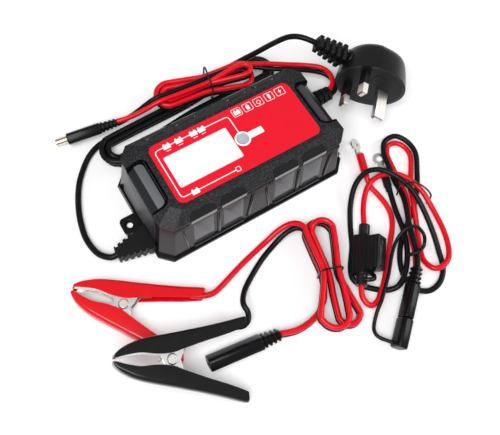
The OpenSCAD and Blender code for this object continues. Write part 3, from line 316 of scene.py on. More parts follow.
lead("mains_cable", np.vstack([mains_in, mains_turns, mains_out]), mains_d, black_pvc,
    ("mains_lead", "mains_hank"))
dc_after = turned(dc_out, dc_angle, dc_centre)
for colour, k, material in (("red", 1, red_pvc), ("black", -1, black_pvc)):
    lead(f"output_wire_{colour}", pair(dc_in, dc_in_roll, dc_turns, dc_after, dc_out_roll, k),
        wire_d, material, (f"dc_lead_{colour}", f"dc_hank_{colour}"))
for colour, k, material, after in (("red", 1, red_pvc, clip_red),
        ("black", -1, black_pvc, clip_black)):
    line = pair(clip_in, np.zeros(len(clip_in)), clip_turns, clip_turns[-1:], [0], k)[:-1]
    lead(f"clip_wire_{colour}", np.vstack([line, after]), wire_d, material,
        (f"clip_lead_{colour}", f"clip_hank_{colour}"))
lead("ring_wire_black", ring_black, wire_d, black_pvc, ("ring_lead_black",))
lead("ring_wire_red", ring_red, wire_d, red_pvc, ("ring_lead_red",))
lead("ring_wire_red_end", ring_red_end, wire_d, red_pvc, ())
lead("cap_strap", [(26.6, -151.7, 6.4), *tether], 2.4, black_pvc, ("cap_tether",),
    follow=("dust_cap_body", (0.0575, -0.1056, 0.0096), (0.021, -0.144, 0.0055)))

# ---------------------------------------------------------------- bench and light
# A white studio sweep under the object, a broad soft lamp overhead, a smaller one to the right
# and an even white surround. The sweep glows a little where the camera sees it.
floor_mesh = bpy.data.meshes.new("bench_top")
floor_half = 6
floor_mesh.from_pydata([(x * floor_half, y * floor_half, 0) for x, y in
    ((-1, -1), (1, -1), (1, 1), (-1, 1))], [], [(0, 1, 2, 3)])
floor = bpy.data.objects.new("bench_top", floor_mesh)
bpy.context.scene.collection.objects.link(floor)
floor_material = bpy.data.materials.new("bench_white")
floor_material.use_nodes = True
floor_tree = floor_material.node_tree
floor_inputs = floor_tree.nodes["Principled BSDF"].inputs
floor_inputs["Base Color"].default_value = (0.93, 0.93, 0.94, 1)
floor_inputs["Roughness"].default_value = 0.9
floor_inputs["Specular IOR Level"].default_value = 0.2
path = floor_tree.nodes.new("ShaderNodeLightPath")
seen = floor_tree.nodes.new("ShaderNodeMath")
seen.operation = "MAXIMUM"
glow = floor_tree.nodes.new("ShaderNodeMath")
glow.operation = "MULTIPLY"
glow.inputs[1].default_value = 0.1
floor_tree.links.new(path.outputs["Is Camera Ray"], seen.inputs[0])
floor_tree.links.new(path.outputs["Is Glossy Ray"], seen.inputs[1])
floor_tree.links.new(seen.outputs[0], glow.inputs[0])
floor_inputs["Emission Color"].default_value = (1, 1, 1, 1)
floor_tree.links.new(glow.outputs[0], floor_inputs["Emission Strength"])
floor_mesh.materials.append(floor_material)
world = bpy.data.worlds.new("studio")
bpy.context.scene.world = world
world.use_nodes = True
sky = world.node_tree.nodes["Background"]
sky.inputs["Color"].default_value = (1, 1, 1, 1)
sky.inputs["Strength"].default_value = 0.34
lamp_aim = np.array([0.02, -0.04, 0.0])
for lamp_name, place, size, power in (("top_softbox", (-0.45, -0.35, 1.1), 0.8, 13.0),
        ("right_softbox", (0.9, -0.5, 0.7), 0.5, 4.0)):
    lamp_data = bpy.data.lights.new(lamp_name, "AREA")
    lamp_data.size = size
    lamp_data.energy = power
    lamp = bpy.data.objects.new(lamp_name, lamp_data)
    bpy.context.scene.collection.objects.link(lamp)
    z = np.array(place) - lamp_aim
    z /= np.linalg.norm(z)
    x = np.cross([0, 1, 0], z)
    x /= np.linalg.norm(x)
    y = np.cross(z, x)
    lamp.matrix_world = stood(x, y, z, place)

# ---------------------------------------------------------------- base tray and boards
# Black ABS tray with a screw ear at each end, a thin rubber seal round its rim, and the boards and
# tall parts that stand on it. Four zinc screws from below hold the cover down on it.


def dress(material, *names):
    """The material in every slot of those CAD nodes, whose shapes are right as they are."""
    for name in names:
        for one in nodes[name].material_slots:
            one.material = material


dress(skin("tray_abs", (0.006, 0.006, 0.007), 0.3, 0.2, coat=0.06, grain=0.12, scale=1400,
    edge=0.0006, shine=0.2), "base_tray")
dress(skin("seal_rubber", (0.01, 0.01, 0.01), 0.7, 0.3), "housing_seal")
dress(skin("board_mask", (0.012, 0.11, 0.04), 0.35, 0.3, coat=0.4, scale=500), "main_board",
    "display_board")
dress(skin("winding_tape", (0.6, 0.4, 0.05), 0.45, 0.2, scale=300), "transformer")
dress(skin("capacitor_sleeve", (0.01, 0.015, 0.06), 0.3, 0.2, coat=0.5), "capacitors")
dress(skin("enamelled_copper", (0.7, 0.26, 0.07), 0.28, 0.2, metal=1.0, grain=0.3, scale=700),
    "line_choke")
dress(skin("extruded_aluminium", (0.62, 0.63, 0.65), 0.35, 0.1, metal=1.0, grain=0.2), "heatsink")
dress(skin("black_epoxy", (0.02, 0.02, 0.022), 0.6, 0.2, grain=0.15, edge=0.0003),
    "power_transistors", "bridge_rectifier", "mode_switch")
dress(skin("zinc_screw", (0.55, 0.56, 0.58), 0.3, 0.1, metal=1.0, grain=0.1, edge=0.0003),
    "housing_screws")

# ---------------------------------------------------------------- side panels
# Smoke-tinted polycarbonate band between the tray and the cover, polished, paler where the light
# comes through at its windows: eight tall panes with raised ribs between and below them.
# Band and panes are painted lighter towards the top: painted light.


def rounded(points, radius, steps=5):
    """Closed outline with each corner swapped for a parabola that starts and ends radius away, or
    at most 0.45 of the shorter side away."""
    p = np.asarray(points, float)
    back, on = np.roll(p, 1, 0) - p, np.roll(p, -1, 0) - p
    lb, lo = np.linalg.norm(back, axis=1)[:, None], np.linalg.norm(on, axis=1)[:, None]
    reach = np.minimum(radius, 0.45 * np.minimum(lb, lo))
    a, b = p + back / lb * reach, p + on / lo * reach
    a, p, b = a[:, None], p[:, None], b[:, None]
    s = np.linspace(0, 1, steps)[None, :, None]
    return ((1 - s) ** 2 * a + 2 * s * (1 - s) * p + s**2 * b).reshape(-1, 2)


def inset(outline, distance):
    """Outline moved inwards, each point along the normal of its neighbours' chord."""
    chord = np.roll(outline, -1, 0) - np.roll(outline, 1, 0)
    chord /= np.maximum(np.linalg.norm(chord, axis=1)[:, None], 1e-9)
    x, y = outline.T
    area = np.sum(x * np.roll(y, -1) - y * np.roll(x, -1))
    return outline - distance * np.sign(area) * np.stack([chord[:, 1], -chord[:, 0]], 1)


def pillow(outline, low, high, edge, steps=4):
    """Rings of a plate from low to high whose two rims are quarter circles of radius edge."""
    a = np.linspace(0, np.pi / 2, steps)
    pull = np.concatenate([edge * (1 - np.sin(a)), edge * (1 - np.cos(a))])
    height = np.concatenate([low + edge * (1 - np.cos(a)), high - edge * (1 - np.sin(a))])
    rings = np.stack([inset(outline, d) for d in pull])
    return np.concatenate([rings, np.broadcast_to(height[:, None, None], (*rings.shape[:2], 1))], 2)


def turn(x, y, z):
    """Rotation matrix for turns of x, then y, then z degrees about the fixed axes."""
    a, b, c = np.radians([x, y, z])
    rx = np.array([[1, 0, 0], [0, np.cos(a), -np.sin(a)], [0, np.sin(a), np.cos(a)]])
    ry = np.array([[np.cos(b), 0, np.sin(b)], [0, 1, 0], [-np.sin(b), 0, np.cos(b)]])
    rz = np.array([[np.cos(c), -np.sin(c), 0], [np.sin(c), np.cos(c), 0], [0, 0, 1]])
    return rz @ ry @ rx


def by_axis(material, axis, low, high, colour_low, colour_high):
    """The material's colour now runs from one colour at low to another at high along an axis."""
    tree = material.node_tree
    place = tree.nodes.new("ShaderNodeTexCoord")
    split = tree.nodes.new("ShaderNodeSeparateXYZ")
    span = tree.nodes.new("ShaderNodeMapRange")
    span.inputs["From Min"].default_value = low
    span.inputs["From Max"].default_value = high
    tint = tree.nodes.new("ShaderNodeValToRGB")
    tint.color_ramp.elements[0].color = (*colour_low, 1)
    tint.color_ramp.elements[1].color = (*colour_high, 1)
    tree.links.new(place.outputs["Object"], split.inputs[0])
    tree.links.new(split.outputs[axis], span.inputs["Value"])
    tree.links.new(span.outputs["Result"], tint.inputs["Fac"])
    tree.links.new(tint.outputs["Color"], tree.nodes["Principled BSDF"].inputs["Base Color"])
    return material


# Painted light: the band's smoke grey runs from dark at the bottom to paler and a little redder at
# the top.
dress(by_axis(skin("smoke_polycarbonate", (0.1, 0.1, 0.1), 0.16, 0.1, grain=0.04, edge=0.0006,
    shine=0.16), "Z", 0.004, 0.038, (0.014, 0.013, 0.015), (0.028, 0.019, 0.021)), "side_panels")
# Painted light: the panes' grey runs from darker at the bottom to paler at the top.
pane_gloss_painted_light = by_axis(skin("pane_gloss_painted_light", (0.5, 0.5, 0.5), 0.12, 0.05, grain=0.01, shine=0.2),
    "Z", 0.007, 0.036, (0.07, 0.07, 0.078), (0.12, 0.12, 0.13))
rib_gloss = skin("rib_polycarbonate", (0.014, 0.013, 0.015), 0.14, 0.1, grain=0.02, shine=0.2)
wall_foot, side_reach, side_lean, end_reach, end_lean = 2.4, 35.3, 0.0865, 71.0, 0.0891


def on_side(rings, x, s, z):
    """Plate drawn face on (across, up, outwards) and stood on the sloping long side s at x, its
    middle at height z: outwards runs along Y from the side's face."""
    r = np.asarray(rings, float)
    up = z + r[..., 1]
    face = side_reach - (up - wall_foot) * side_lean
    return np.stack([x - s * r[..., 0], s * (face + r[..., 2]), up], -1)


def box_outline(x0, x1, y0, y1, r=0.8, lean=0.0):
    """Rounded four-sided outline whose top edge is shifted sideways by lean."""
    return rounded([(x0, y0), (x1, y0), (x1 + lean, y1), (x0 + lean, y1)], r)


sides = [(s, x) for s in (-1, 1) for x in (-41, -19.3, 19.3, 41)]
pane = pillow(box_outline(-7.4, 7.4, -13.6, 13.6, 1.2), -0.6, 0.12, 0.3)
put("side_panes", merged("side_panes", [on_side(pane, x, s, 21.3) for s, x in sides]),
    pane_gloss_painted_light)
leans = ((-52.5, -3), (-30.2, 0), (-8.2, 3.4), (8.2, -3.4), (30.2, 0), (52.5, 3))
ribs = [on_side(pillow(box_outline(-1.1, 1.1, -13.8, 13.8, 0.5, lean), -0.3, 0.95, 0.45),
    x, s, 21.2) for s in (-1, 1) for x, lean in leans]
sill = pillow(box_outline(-18.6, 18.6, -0.9, 0.9, 0.4), -0.3, 1.3, 0.5)
ribs += [on_side(sill, x, s, 6.6) for s in (-1, 1) for x in (-30.2, 30.2)]
put("side_ribs", merged("side_ribs", ribs), rib_gloss)

# ---------------------------------------------------------------- top cover
# Charcoal ABS lid with a sparkle texture, a flat rim round its label and a chamfer down to a skirt
# whose tabs clip over the side panels. A recess with a sloping grey panel, a dark step and a
# black rounded rim runs out of each end, above a plain end wall. The rim is painted near black as
# the recess's shadow, the end panels are painted paler at one end than the other, and the end
# walls darker towards one side: painted light and shade.


def sparkle(name, colour, bright):
    """Textured ABS: tiny cells, most of them the base colour and a few much brighter."""
    m = skin(name, colour, 0.45, 0.2, grain=0.35, scale=1500, edge=0.0008, shine=0.2)
    tree = m.node_tree
    cells = tree.nodes.new("ShaderNodeTexVoronoi")
    cells.inputs["Scale"].default_value = 2600.0
    flake = tree.nodes.new("ShaderNodeValToRGB")
    flake.color_ramp.elements[0].position = 0.72
    flake.color_ramp.elements[0].color = (*colour, 1)
    flake.color_ramp.elements[1].position = 0.95
    flake.color_ramp.elements[1].color = (*bright, 1)
    place = tree.nodes.new("ShaderNodeTexCoord")
    split = tree.nodes.new("ShaderNodeSeparateColor")
    tree.links.new(place.outputs["Object"], cells.inputs["Vector"])
    tree.links.new(cells.outputs["Color"], split.inputs[0])
    tree.links.new(split.outputs[0], flake.inputs["Fac"])
    tree.links.new(flake.outputs["Color"], tree.nodes["Principled BSDF"].inputs["Base Color"])
    return m


dress(sparkle("cover_abs", (0.011, 0.011, 0.0125), (0.06, 0.06, 0.066)), "top_cover")
tab_black = skin("tab_abs", (0.006, 0.006, 0.007), 0.18, 0.1, coat=0.6, grain=0.02)
tab_half, tab_corner = 9.0, 3.2
v = np.linspace(0, 1, 25)
way = np.array([(32.75, 37.4), (33.05, 40), (33.2, 42.9), (32.4, 43.6), (30.6, 44.6),
    (28.9, 45.55)])
along = np.concatenate([[0], np.cumsum(np.linalg.norm(np.diff(way, axis=0), axis=1))])
line_y, line_z = (np.interp(v * along[-1], along, way[:, axis]) for axis in (0, 1))
left = np.minimum((1 - v) * along[-1], tab_corner)
half = tab_half - tab_corner + np.sqrt(np.maximum(tab_corner**2 - (tab_corner - left) ** 2, 0))
tabs = []
for s, x in sides:
    shell = [np.stack([x + k * half, s * (line_y + o), line_z + 0.6 * o], 1)
        for k, o in ((-1, -0.5), (-1, 0.12), (1, 0.12), (1, -0.5))]
    tabs.append(np.stack(shell, 1))
put("cover_tabs", merged("cover_tabs", tabs), tab_black)
lobes = [on_side(pillow(box_outline(-w, w, -2.6, 2.6, 1.6), -0.3, 0.75, 0.4), x, s, 36.9)
    for s in (-1, 1) for x, w in ((-56.3, 5.2), (-30.2, 2.6), (-9.2, 2.2), (0, 6.6), (9.2, 2.2),
    (30.2, 2.6), (56.3, 5.2))]
put("cover_skirt", merged("cover_skirt", lobes), bpy.data.materials["cover_abs"])
# Painted light and shade: the end panels' grey is pale at the -X end and dark at the +X end.
end_grey_painted_light = by_axis(skin("end_panel_abs", (0.1, 0.1, 0.1), 0.3, 0.08, coat=0.1, grain=0.03),
    "X", -0.06, 0.06, (0.13, 0.133, 0.142), (0.05, 0.053, 0.064))
end_dark = skin("end_step_abs", (0.018, 0.02, 0.026), 0.24, 0.1, grain=0.03, shine=0.2)
# Painted shade: the end walls' grey darkens towards -Y and pales towards +Y.
end_wall = by_axis(skin("end_wall_abs", (0.1, 0.1, 0.1), 0.4, 0.08, grain=0.05, shine=0.2),
    "Y", -0.02, 0.02, (0.03, 0.031, 0.034), (0.13, 0.13, 0.137))
# Painted shadow: the recess rims are black, darkened to near black with almost no shine for the
# shadow in the recess.
rim_black_painted_shadow = skin("recess_rim_painted_shadow", (0.0015, 0.0015, 0.002), 0.45, 0.08, grain=0.02, shine=0.03)
recess_back, recess_mouth, recess_half, panel_top = 57.8, 68.2, 16.6, 44.5


def recess_rim(x0, half, corner):
    """U-shaped line round a recess open at its mouth: two straight arms at half to each side,
    joined by quarter circles to a straight back at x0."""
    t = np.linspace(0, 1, 10)
    a = np.pi / 2 * t
    x = np.concatenate([recess_mouth + t * (x0 + corner - recess_mouth),
        x0 + corner * (1 - np.sin(a)), x0 + 0 * t])
    y = np.concatenate([-half + 0 * t, -half + corner * (1 - np.cos(a)), (corner - half) * (1 - t)])
    return np.concatenate([np.stack([x, y], 1), np.stack([x, -y], 1)[-2::-1]])


def lid_height(line, lift):
    """Height of the lid's top and end chamfer at each point of a line, raised by lift."""
    return np.interp(line[:, 0], [57.5, 68.65], [47.6, 43.0]) + lift


outer, inner = recess_rim(55.5, 18.3, 5.6), recess_rim(57.9, 16.5, 3.6)
recess_floor = np.interp(inner[:, 0], [57.5, 62.5, 64, recess_mouth], [panel_top, 43.5, 39.5, 39.2])
rim = np.stack([np.column_stack(c) for c in ((outer, lid_height(outer, -0.6)),
    (outer, lid_height(outer, 0.02)), (0.8 * outer + 0.2 * inner, lid_height(outer, 0.22)),
    (0.3 * outer + 0.7 * inner, lid_height(inner, 0.1)), (inner, lid_height(inner, -0.5)),
    (inner, recess_floor - 0.3))], 1)
panel = pillow(box_outline(-recess_half, recess_half, 0, 5.9, 0.6), 0.0, 0.45, 0.25)
panel_z = panel_top - np.interp(panel[..., 1], [0, 5.6, 6.2], [0.0, 1.15, 1.5]) + panel[..., 2]
fall = np.array([(63.2, 43.4), (63.7, 43.5), (65.6, 41.9), (67.8, 39.4), (67.9, 38.8),
    (63.2, 38.8)])
wall = pillow(rounded([(-22, 7.4), (22, 7.4), (19.4, 37.6), (-19.4, 37.6)], 1.5), -0.4, 0.45, 0.3)
wall_x = end_reach - end_lean * (wall[..., 1] - wall_foot) + wall[..., 2]
ends, steps, walls, rims = [], [], [], []
for s in (-1, 1):
    ends.append(np.stack([s * (recess_back + panel[..., 1]), s * panel[..., 0], panel_z], -1))
    steps.append(np.stack([np.stack([s * fall[:, 0], s * y + 0 * fall[:, 0], fall[:, 1]], 1)
        for y in (-recess_half - 0.1, recess_half + 0.1)]))
    walls.append(np.stack([s * wall_x, s * wall[..., 0], wall[..., 1]], -1))
    rims.append(rim * (s, s, 1))
put("end_panels", merged("end_panels", ends), end_grey_painted_light)
put("end_steps", merged("end_steps", steps), end_dark, smooth_angle=20)
put("end_walls", merged("end_walls", walls), end_wall)
put("recess_rims", merged("recess_rims", rims), rim_black_painted_shadow, smooth_angle=50)

# ---------------------------------------------------------------- label, window and button
# Printed red film stuck on the lid, its white marks a raised ink: a framing line, a ring and
# tongue for the button, battery signs and boxed signs. The window is clear acrylic over a white
# display, and bits of red film round its corners.


def raised(outline, z):
    """Points of a flat outline at height z."""
    return np.insert(np.asarray(outline, float), 2, z, 1)


def flat(outline, z0=47.955, z1=47.985):
    """Thin plate of ink on the label, from z0 up to z1."""
    return np.stack([raised(outline, z0), raised(outline, z1)])


strokes = []


def loop(outer, inner, z=47.98):
    """Closed strip of ink between two outlines, one ring of points inside the other."""
    strokes.append(np.stack([raised(outer, z - 0.02), raised(outer, z), raised(inner, z),
        raised(inner, z - 0.02)]))


def round_rect(x0, x1, y0, y1, r):
    """Rectangle with rounded corners, counter-clockwise."""
    return rounded([(x0, y0), (x1, y0), (x1, y1), (x0, y1)], r)


def strip(points, width):
    """Line of ink of that width through points: each side is offset by half of it along the
    normals."""
    p = np.asarray(points, float)
    t = np.gradient(p, axis=0)
    t /= np.linalg.norm(t, axis=1)[:, None]
    n = np.stack([-t[:, 1], t[:, 0]], 1) * width / 2
    return np.vstack([p + n, (p - n)[::-1]])


def battery(x, y, w, h):
    """Battery sign: a block with two posts on its top edge."""
    left, right, top = x - w / 2, x + w / 2, y + h / 2
    return [flat(round_rect(left, right, y - h / 2, top - 0.7, 0.4), 47.96, 48.01),
        *[flat(round_rect(post, post + 1.2, top - 0.9, top, 0.2), 47.96, 48.03)
            for post in (left + 0.4, right - 1.6)]]


def bend(a, c, b):
    """Quadratic curve from a to b with its control point at c, in seven points."""
    s = np.linspace(0, 1, 7)[:, None]
    return (1 - s) ** 2 * np.array(a) + 2 * s * (1 - s) * np.array(c) + s**2 * np.array(b)


def circle(x, y, r):
    """Circle of radius r about x, y, in 48 points."""
    angle = np.linspace(0, 2 * np.pi, 49)[:-1]
    return np.stack([x + r * np.cos(angle), y + r * np.sin(angle)], 1)


dress(skin("red_film", (0.78, 0.004, 0.02), 0.26, 0.03, coat=0.3, grain=0.02, scale=400),
    "label_panel")
ink = skin("white_ink", (0.9, 0.9, 0.9), 0.4, 0.03, grain=0.05)
button_x, button_y = 5.3, -1.6
frame_left, frame_top, frame_foot = -48.4, 17.4, -18.6
window_x, window_y, window_half_x, window_half_y = -23, -0.7, 22.9, 12.0
frame_line = np.vstack([[(button_x, 3.6), (button_x, 9)],
    bend((button_x, 14.6), (button_x, frame_top), (2.6, frame_top)),
    [(-10, frame_top), (-30, frame_top)],
    bend((-45.6, frame_top), (frame_left, frame_top), (frame_left, 14.6)),
    [(frame_left, 5), (frame_left, -8)],
    bend((frame_left, -15.9), (frame_left, frame_foot), (-45.6, frame_foot)),
    [(-30, frame_foot), (-9.8, frame_foot)]])
corner = np.array([(0, 0), (2.1, 0), (1.05, 0.25), (0.45, 0.6), (0.18, 1.1), (0, 2.1)])
corners = [flat(corner * (-sx, -sy) + (window_x + sx * window_half_x,
    window_y + sy * window_half_y), 47.9, 47.965) for sx in (-1, 1) for sy in (-1, 1)]
put("window_corners", merged("window_corners", corners), bpy.data.materials["red_film"],
    smooth_angle=20)
loop(circle(button_x, button_y, 5.3), circle(button_x, button_y, 3.95))
marks = [flat(strip(frame_line, 0.65)[::-1]), flat(round_rect(9.6, 20.4, -3.9, 0.9, 0.8))]
for x in (-39.6, -31, -20.4, -14.4):
    marks += [*battery(x, 17.5, 5, 4), flat(round_rect(x - 1.6, x + 1.6, 13.9, 14.25, 0.1))]
marks += battery(-39, -18.6, 5, 3.8)
loop(round_rect(-9.9, -6.7, -20.2, -16.8, 0.8), round_rect(-9.5, -7.1, -19.8, -17.2, 0.6))
for x in (12, 20.3, 28.6, 37, 45.3):
    loop(round_rect(x - 3.3, x + 3.3, 14.1, 20.3, 1.1),
        round_rect(x - 2.95, x + 2.95, 14.45, 19.95, 0.9))
marks += battery(12, 17.2, 4.4, 3.6)
marks += [flat(round_rect(19.1, 21.5, 15.3, 18.6, 0.6)),
    flat(round_rect(19.8, 20.8, 18.5, 19.2, 0.3)),
    flat(round_rect(28.2, 29, 14.9, 15.6, 0.2)),
    flat([(36.1, 16.4), (37, 15), (37.9, 16.4), (37.9, 19.1), (36.1, 19.1)]),
    flat([(44, 17), (45.2, 17), (44.7, 15), (46.6, 17.6), (45.4, 17.6), (45.9, 19.4)])]
loop(circle(28.6, 17, 1.5), circle(28.6, 17, 1.1))
put("label_marks", merged("label_marks", marks, strokes), ink, smooth_angle=20)


def window_shade(name, centre, half, painted_shade_colour, colour):
    """White plastic with painted shade that greys it towards the edges of its rectangle: brightness
    follows the distance to the nearest edge, in metres."""
    m = skin(name, colour, 0.12, 0.01, coat=0.6, grain=0.0)
    tree = m.node_tree
    place = tree.nodes.new("ShaderNodeTexCoord")
    minus = tree.nodes.new("ShaderNodeVectorMath")
    minus.operation = "SUBTRACT"
    minus.inputs[1].default_value = (*centre, 0)
    away = tree.nodes.new("ShaderNodeVectorMath")
    away.operation = "ABSOLUTE"
    room = tree.nodes.new("ShaderNodeVectorMath")
    room.operation = "SUBTRACT"
    room.inputs[0].default_value = (*half, 0)
    split = tree.nodes.new("ShaderNodeSeparateXYZ")
    least = tree.nodes.new("ShaderNodeMath")
    least.operation = "MINIMUM"
    span = tree.nodes.new("ShaderNodeMapRange")
    span.inputs["From Min"].default_value = 0.0002
    span.inputs["From Max"].default_value = 0.0016
    tint = tree.nodes.new("ShaderNodeValToRGB")
    tint.color_ramp.interpolation = "EASE"
    tint.color_ramp.elements[0].color = (*painted_shade_colour, 1)
    tint.color_ramp.elements[1].color = (*colour, 1)
    tree.links.new(place.outputs["Object"], minus.inputs[0])
    tree.links.new(minus.outputs[0], away.inputs[0])
    tree.links.new(away.outputs[0], room.inputs[1])
    tree.links.new(room.outputs[0], split.inputs[0])
    tree.links.new(split.outputs["X"], least.inputs[0])
    tree.links.new(split.outputs["Y"], least.inputs[1])
    tree.links.new(least.outputs[0], span.inputs["Value"])
    tree.links.new(span.outputs["Result"], tint.inputs["Fac"])
    tree.links.new(tint.outputs["Color"], tree.nodes["Principled BSDF"].inputs["Base Color"])
    return m


# Painted shade: the window lens greys towards the edges of its rectangle.
dress(window_shade("window_acrylic", (window_x / 1000, window_y / 1000),
    ((window_half_x - 0.1) / 1000, (window_half_y - 0.1) / 1000), (0.74, 0.74, 0.76),
    (0.93, 0.93, 0.93)), "window_lens")
dress(skin("display_glass", (0.7, 0.74, 0.72), 0.15, 0.02, coat=0.8), "lcd_module")
dress(skin("button_silicone", (0.42, 0.47, 0.56), 0.3, 0.06, coat=0.4, edge=0.0006), "mode_button")

# ---------------------------------------------------------------- glands, plug and its relief
# Soft black PVC glands grip the leads where they leave the housing. The plug is a matte black
# moulded body with a shallow waist, plated brass pins and a relief of five rounded blocks. A fuse
# sits in a carrier pushed into the face.
dress(skin("gland_pvc", (0.006, 0.006, 0.007), 0.45, 0.2, grain=0.1, edge=0.0005, shine=0.18),
    "mains_gland", "dc_gland", "plug_relief")
plug_spin, plug_place = turn(94.926, -65.141, -49.332), (120.8, -6.3, 20.6)
disc_y, cord_z = 10.8, -12


def on_plug(points):
    """Points of the plug's own frame, pins along +Z, moved to where the plug lies."""
    return np.asarray(points, float) @ plug_spin.T + plug_place


profile = smooth([(24.95, 0), (24.9, -1.2), (24.2, -8), (23.2, -15), (22.0, -19.5), (19.6, -22.8),
    (15.5, -24.6), (9, -25), (4, -25)], 4)
depth = profile[:, 1:]
around = np.linspace(0, 2 * np.pi, 97)[:-1]
waist = np.clip(-depth / 25, 0, 1) * np.cos(around * 2) ** 4 * (np.sin(around) < 0.3)
radius = profile[:, :1] * (1 - 0.05 * waist)
face = [np.stack([r * np.cos(around), disc_y + r * np.sin(around), z + 0 * around], 1)
    for r, z in ((22.7, -2.5), (22.7, -0.05), (24.6, 0))]
shell = np.concatenate([np.stack(face), np.stack([radius * np.cos(around),
    disc_y + radius * np.sin(around), depth + 0 * around], -1)])
across = np.linspace(0, 2 * np.pi, 41)[:-1]
neck_y, neck_x, neck_z = np.array([(24, 12.5, 9.5), (28, 10.5, 9), (31.5, 8.8, 8), (34.4, 7.6, 7),
    (35.2, 5.5, 5)]).T[:, :, None]
neck = np.stack([neck_x * np.cos(across), neck_y + 0 * across,
    cord_z + neck_z * np.sin(across)], -1)
plug_black = skin("plug_black", (0.007, 0.007, 0.008), 0.36, 0.2, coat=0.12, grain=0.12,
    scale=1300)
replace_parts(put("plug_body", merged("plug_body", [on_plug(shell)[::-1], on_plug(neck)]),
    plug_black, smooth_angle=40), "plug_shell")
block_count, block_pitch, first_block_y = 5, 4.7, 38.6
blocks = []
for k in range(block_count):
    side = 6.7 - 0.4 * k
    plate = pillow(box_outline(-side, side, -side, side, 1.2), -1.45, 1.45, 0.4)
    blocks.append(on_plug(np.stack([plate[..., 0], first_block_y + block_pitch * k + plate[..., 2],
        cord_z + plate[..., 1]], -1))[::-1])
put("relief_blocks", merged("relief_blocks", blocks), bpy.data.materials["gland_pvc"])
dress(skin("plug_face_black", (0.004, 0.004, 0.005), 0.5, 0.15, grain=0.15, edge=0.0004),
    "plug_face", "fuse_carrier")
dress(skin("pin_plating", (0.9, 0.87, 0.8), 0.34, 0.05, metal=1.0, grain=0.05, edge=0.0005),
    "plug_pins")
dress(skin("fuse_body", (0.75, 0.72, 0.6), 0.3, 0.1, coat=0.4), "plug_fuse")

# ---------------------------------------------------------------- connectors and dust cap
# Two-pole connectors moulded in glossy black PVC, each with a ribbed tail, and a soft cap over the
# ring lead's connector.
connector_pvc = skin("connector_pvc", (0.005, 0.005, 0.006), 0.28, 0.15, coat=0.1, grain=0.03,
    shine=0.16)


def barrel(stations, power=4.0, sides=40):
    """Rings along X: each station (x, half width, half height) is a superellipse of that power."""
    a = np.linspace(0, 2 * np.pi, sides, endpoint=False)
    c, s = np.cos(a), np.sin(a)
    y, z = np.sign(c) * np.abs(c) ** (2 / power), np.sign(s) * np.abs(s) ** (2 / power)
    p = np.asarray(stations, float)
    return np.stack([p[:, :1] + 0 * a, p[:, 1:2] * y, p[:, 2:3] * z], -1)


def tail(f=1.0):
    """Tail of a connector: a tapered core and four collars, each with rounded rims, scaled by f."""
    parts = [barrel([(0, 2.4 * f, 4 * f), (12.4, 3.2 * f, 4.6 * f)], 3)]
    for k in range(4):
        y, z, x = (3.2 + 0.2 * k) * f, (5 + 0.25 * k) * f, 0.8 + 3 * k
        parts.append(barrel([(x, y - 0.5, z - 0.5), (x + 0.3, y, z), (x + 1.3, y, z),
            (x + 1.6, y - 0.5, z - 0.5)]))
    return parts


def body_of(x0, x1, y, z, r=0.7):
    """Straight box body from x0 to x1 with both end rims rounded by r."""
    rim = [(r * (1 - np.cos(a)), r * (1 - np.sin(a))) for a in np.linspace(0, np.pi / 2, 4)]
    return ([(x0 + u, y - v, z - v) for u, v in rim]
        + [(x1 - u, y - v, z - v) for u, v in rim[::-1]])


def socket(x1, holes, r=1.8, deep=14):
    """Mouth of a socket: a dark round well of radius r and that depth, sunk into the end face at
    x1 at each hole's height."""
    a = np.linspace(0, 2 * np.pi, 24, endpoint=False)
    rings = [(x1 + 0.06, r + 0.35), (x1 + 0.12, r + 0.1), (x1 - 0.3, r), (x1 - deep, r)]
    return [np.stack([np.stack([x + 0 * a, q * np.cos(a), h + q * np.sin(a)], 1)
        for x, q in rings]) for h in holes]


places = {"dc": (turn(0, 0, 173) @ turn(-32, 0, 0), (-51.6, 71.5, 7)),
    "clip": (turn(0, 0, 172) @ turn(-32, 0, 0), (-32, -110.8, 7)),
    "ring": (turn(0, 0, 220.5) @ turn(-22, 3, 0), (66.8, -120, 9.9))}
dc_end, clip_end, pole = 36, 47, 3


def on_connector(parts, which):
    """Ring stacks of a connector's own frame, mating end along +X, moved to where it lies."""
    spin, place = places[which]
    return [np.asarray(p, float) @ spin.T + place for p in parts]


shapes = {"dc": [*tail(), barrel(body_of(12, dc_end, 4.1, 6.1)),
        barrel(body_of(34, dc_end + 0.6, 2.6, 2.6, 0.3), 2) + (0, 0, -pole)],
    "clip": [*tail(), barrel(body_of(12, clip_end, 4.1, 6.1))],
    "ring": [*tail(0.85), barrel(body_of(12, 34.5, 3.5, 5.2)),
        barrel(body_of(34.2, 48, 2.5, 3.9, 0.4))]}
for which, shape in shapes.items():
    name = f"{which}_connector_body"
    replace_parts(put(name, merged(name, on_connector(shape, which)), connector_pvc,
        smooth_angle=50), f"{which}_connector")
wells = (on_connector(socket(clip_end, (-pole, pole)), "clip")
    + on_connector(socket(dc_end, (pole,)), "dc"))
# Painted shade: the wells are black plastic made near black and matte for the shade inside the
# holes.
put("connector_wells", merged("connector_wells", [], wells),
    skin("well_black_painted_shade", (0.001, 0.001, 0.001), 0.9, 0.1))
cap = np.concatenate([barrel([(51.8, 2.5, 3.9), (34.9, 2.65, 4.05), (34.9, 2.75, 4.15),
    (34.8, 3.3, 4.9)]), barrel(body_of(34.8, 53.5, 3.8, 5.4, 0.9))])
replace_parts(put("dust_cap_shell", merged("dust_cap_shell", on_connector([cap], "ring")),
    connector_pvc, "dust_cap_body", 50), "dust_cap")
dress(skin("contact_metal", (0.8, 0.74, 0.58), 0.25, 0.05, metal=1.0), "connector_contacts")

# ---------------------------------------------------------------- battery clips
# Each clip is two pressed nickel-plated jaws on a rivet with a steel coil spring, inside a pair of
# glossy PVC grips.


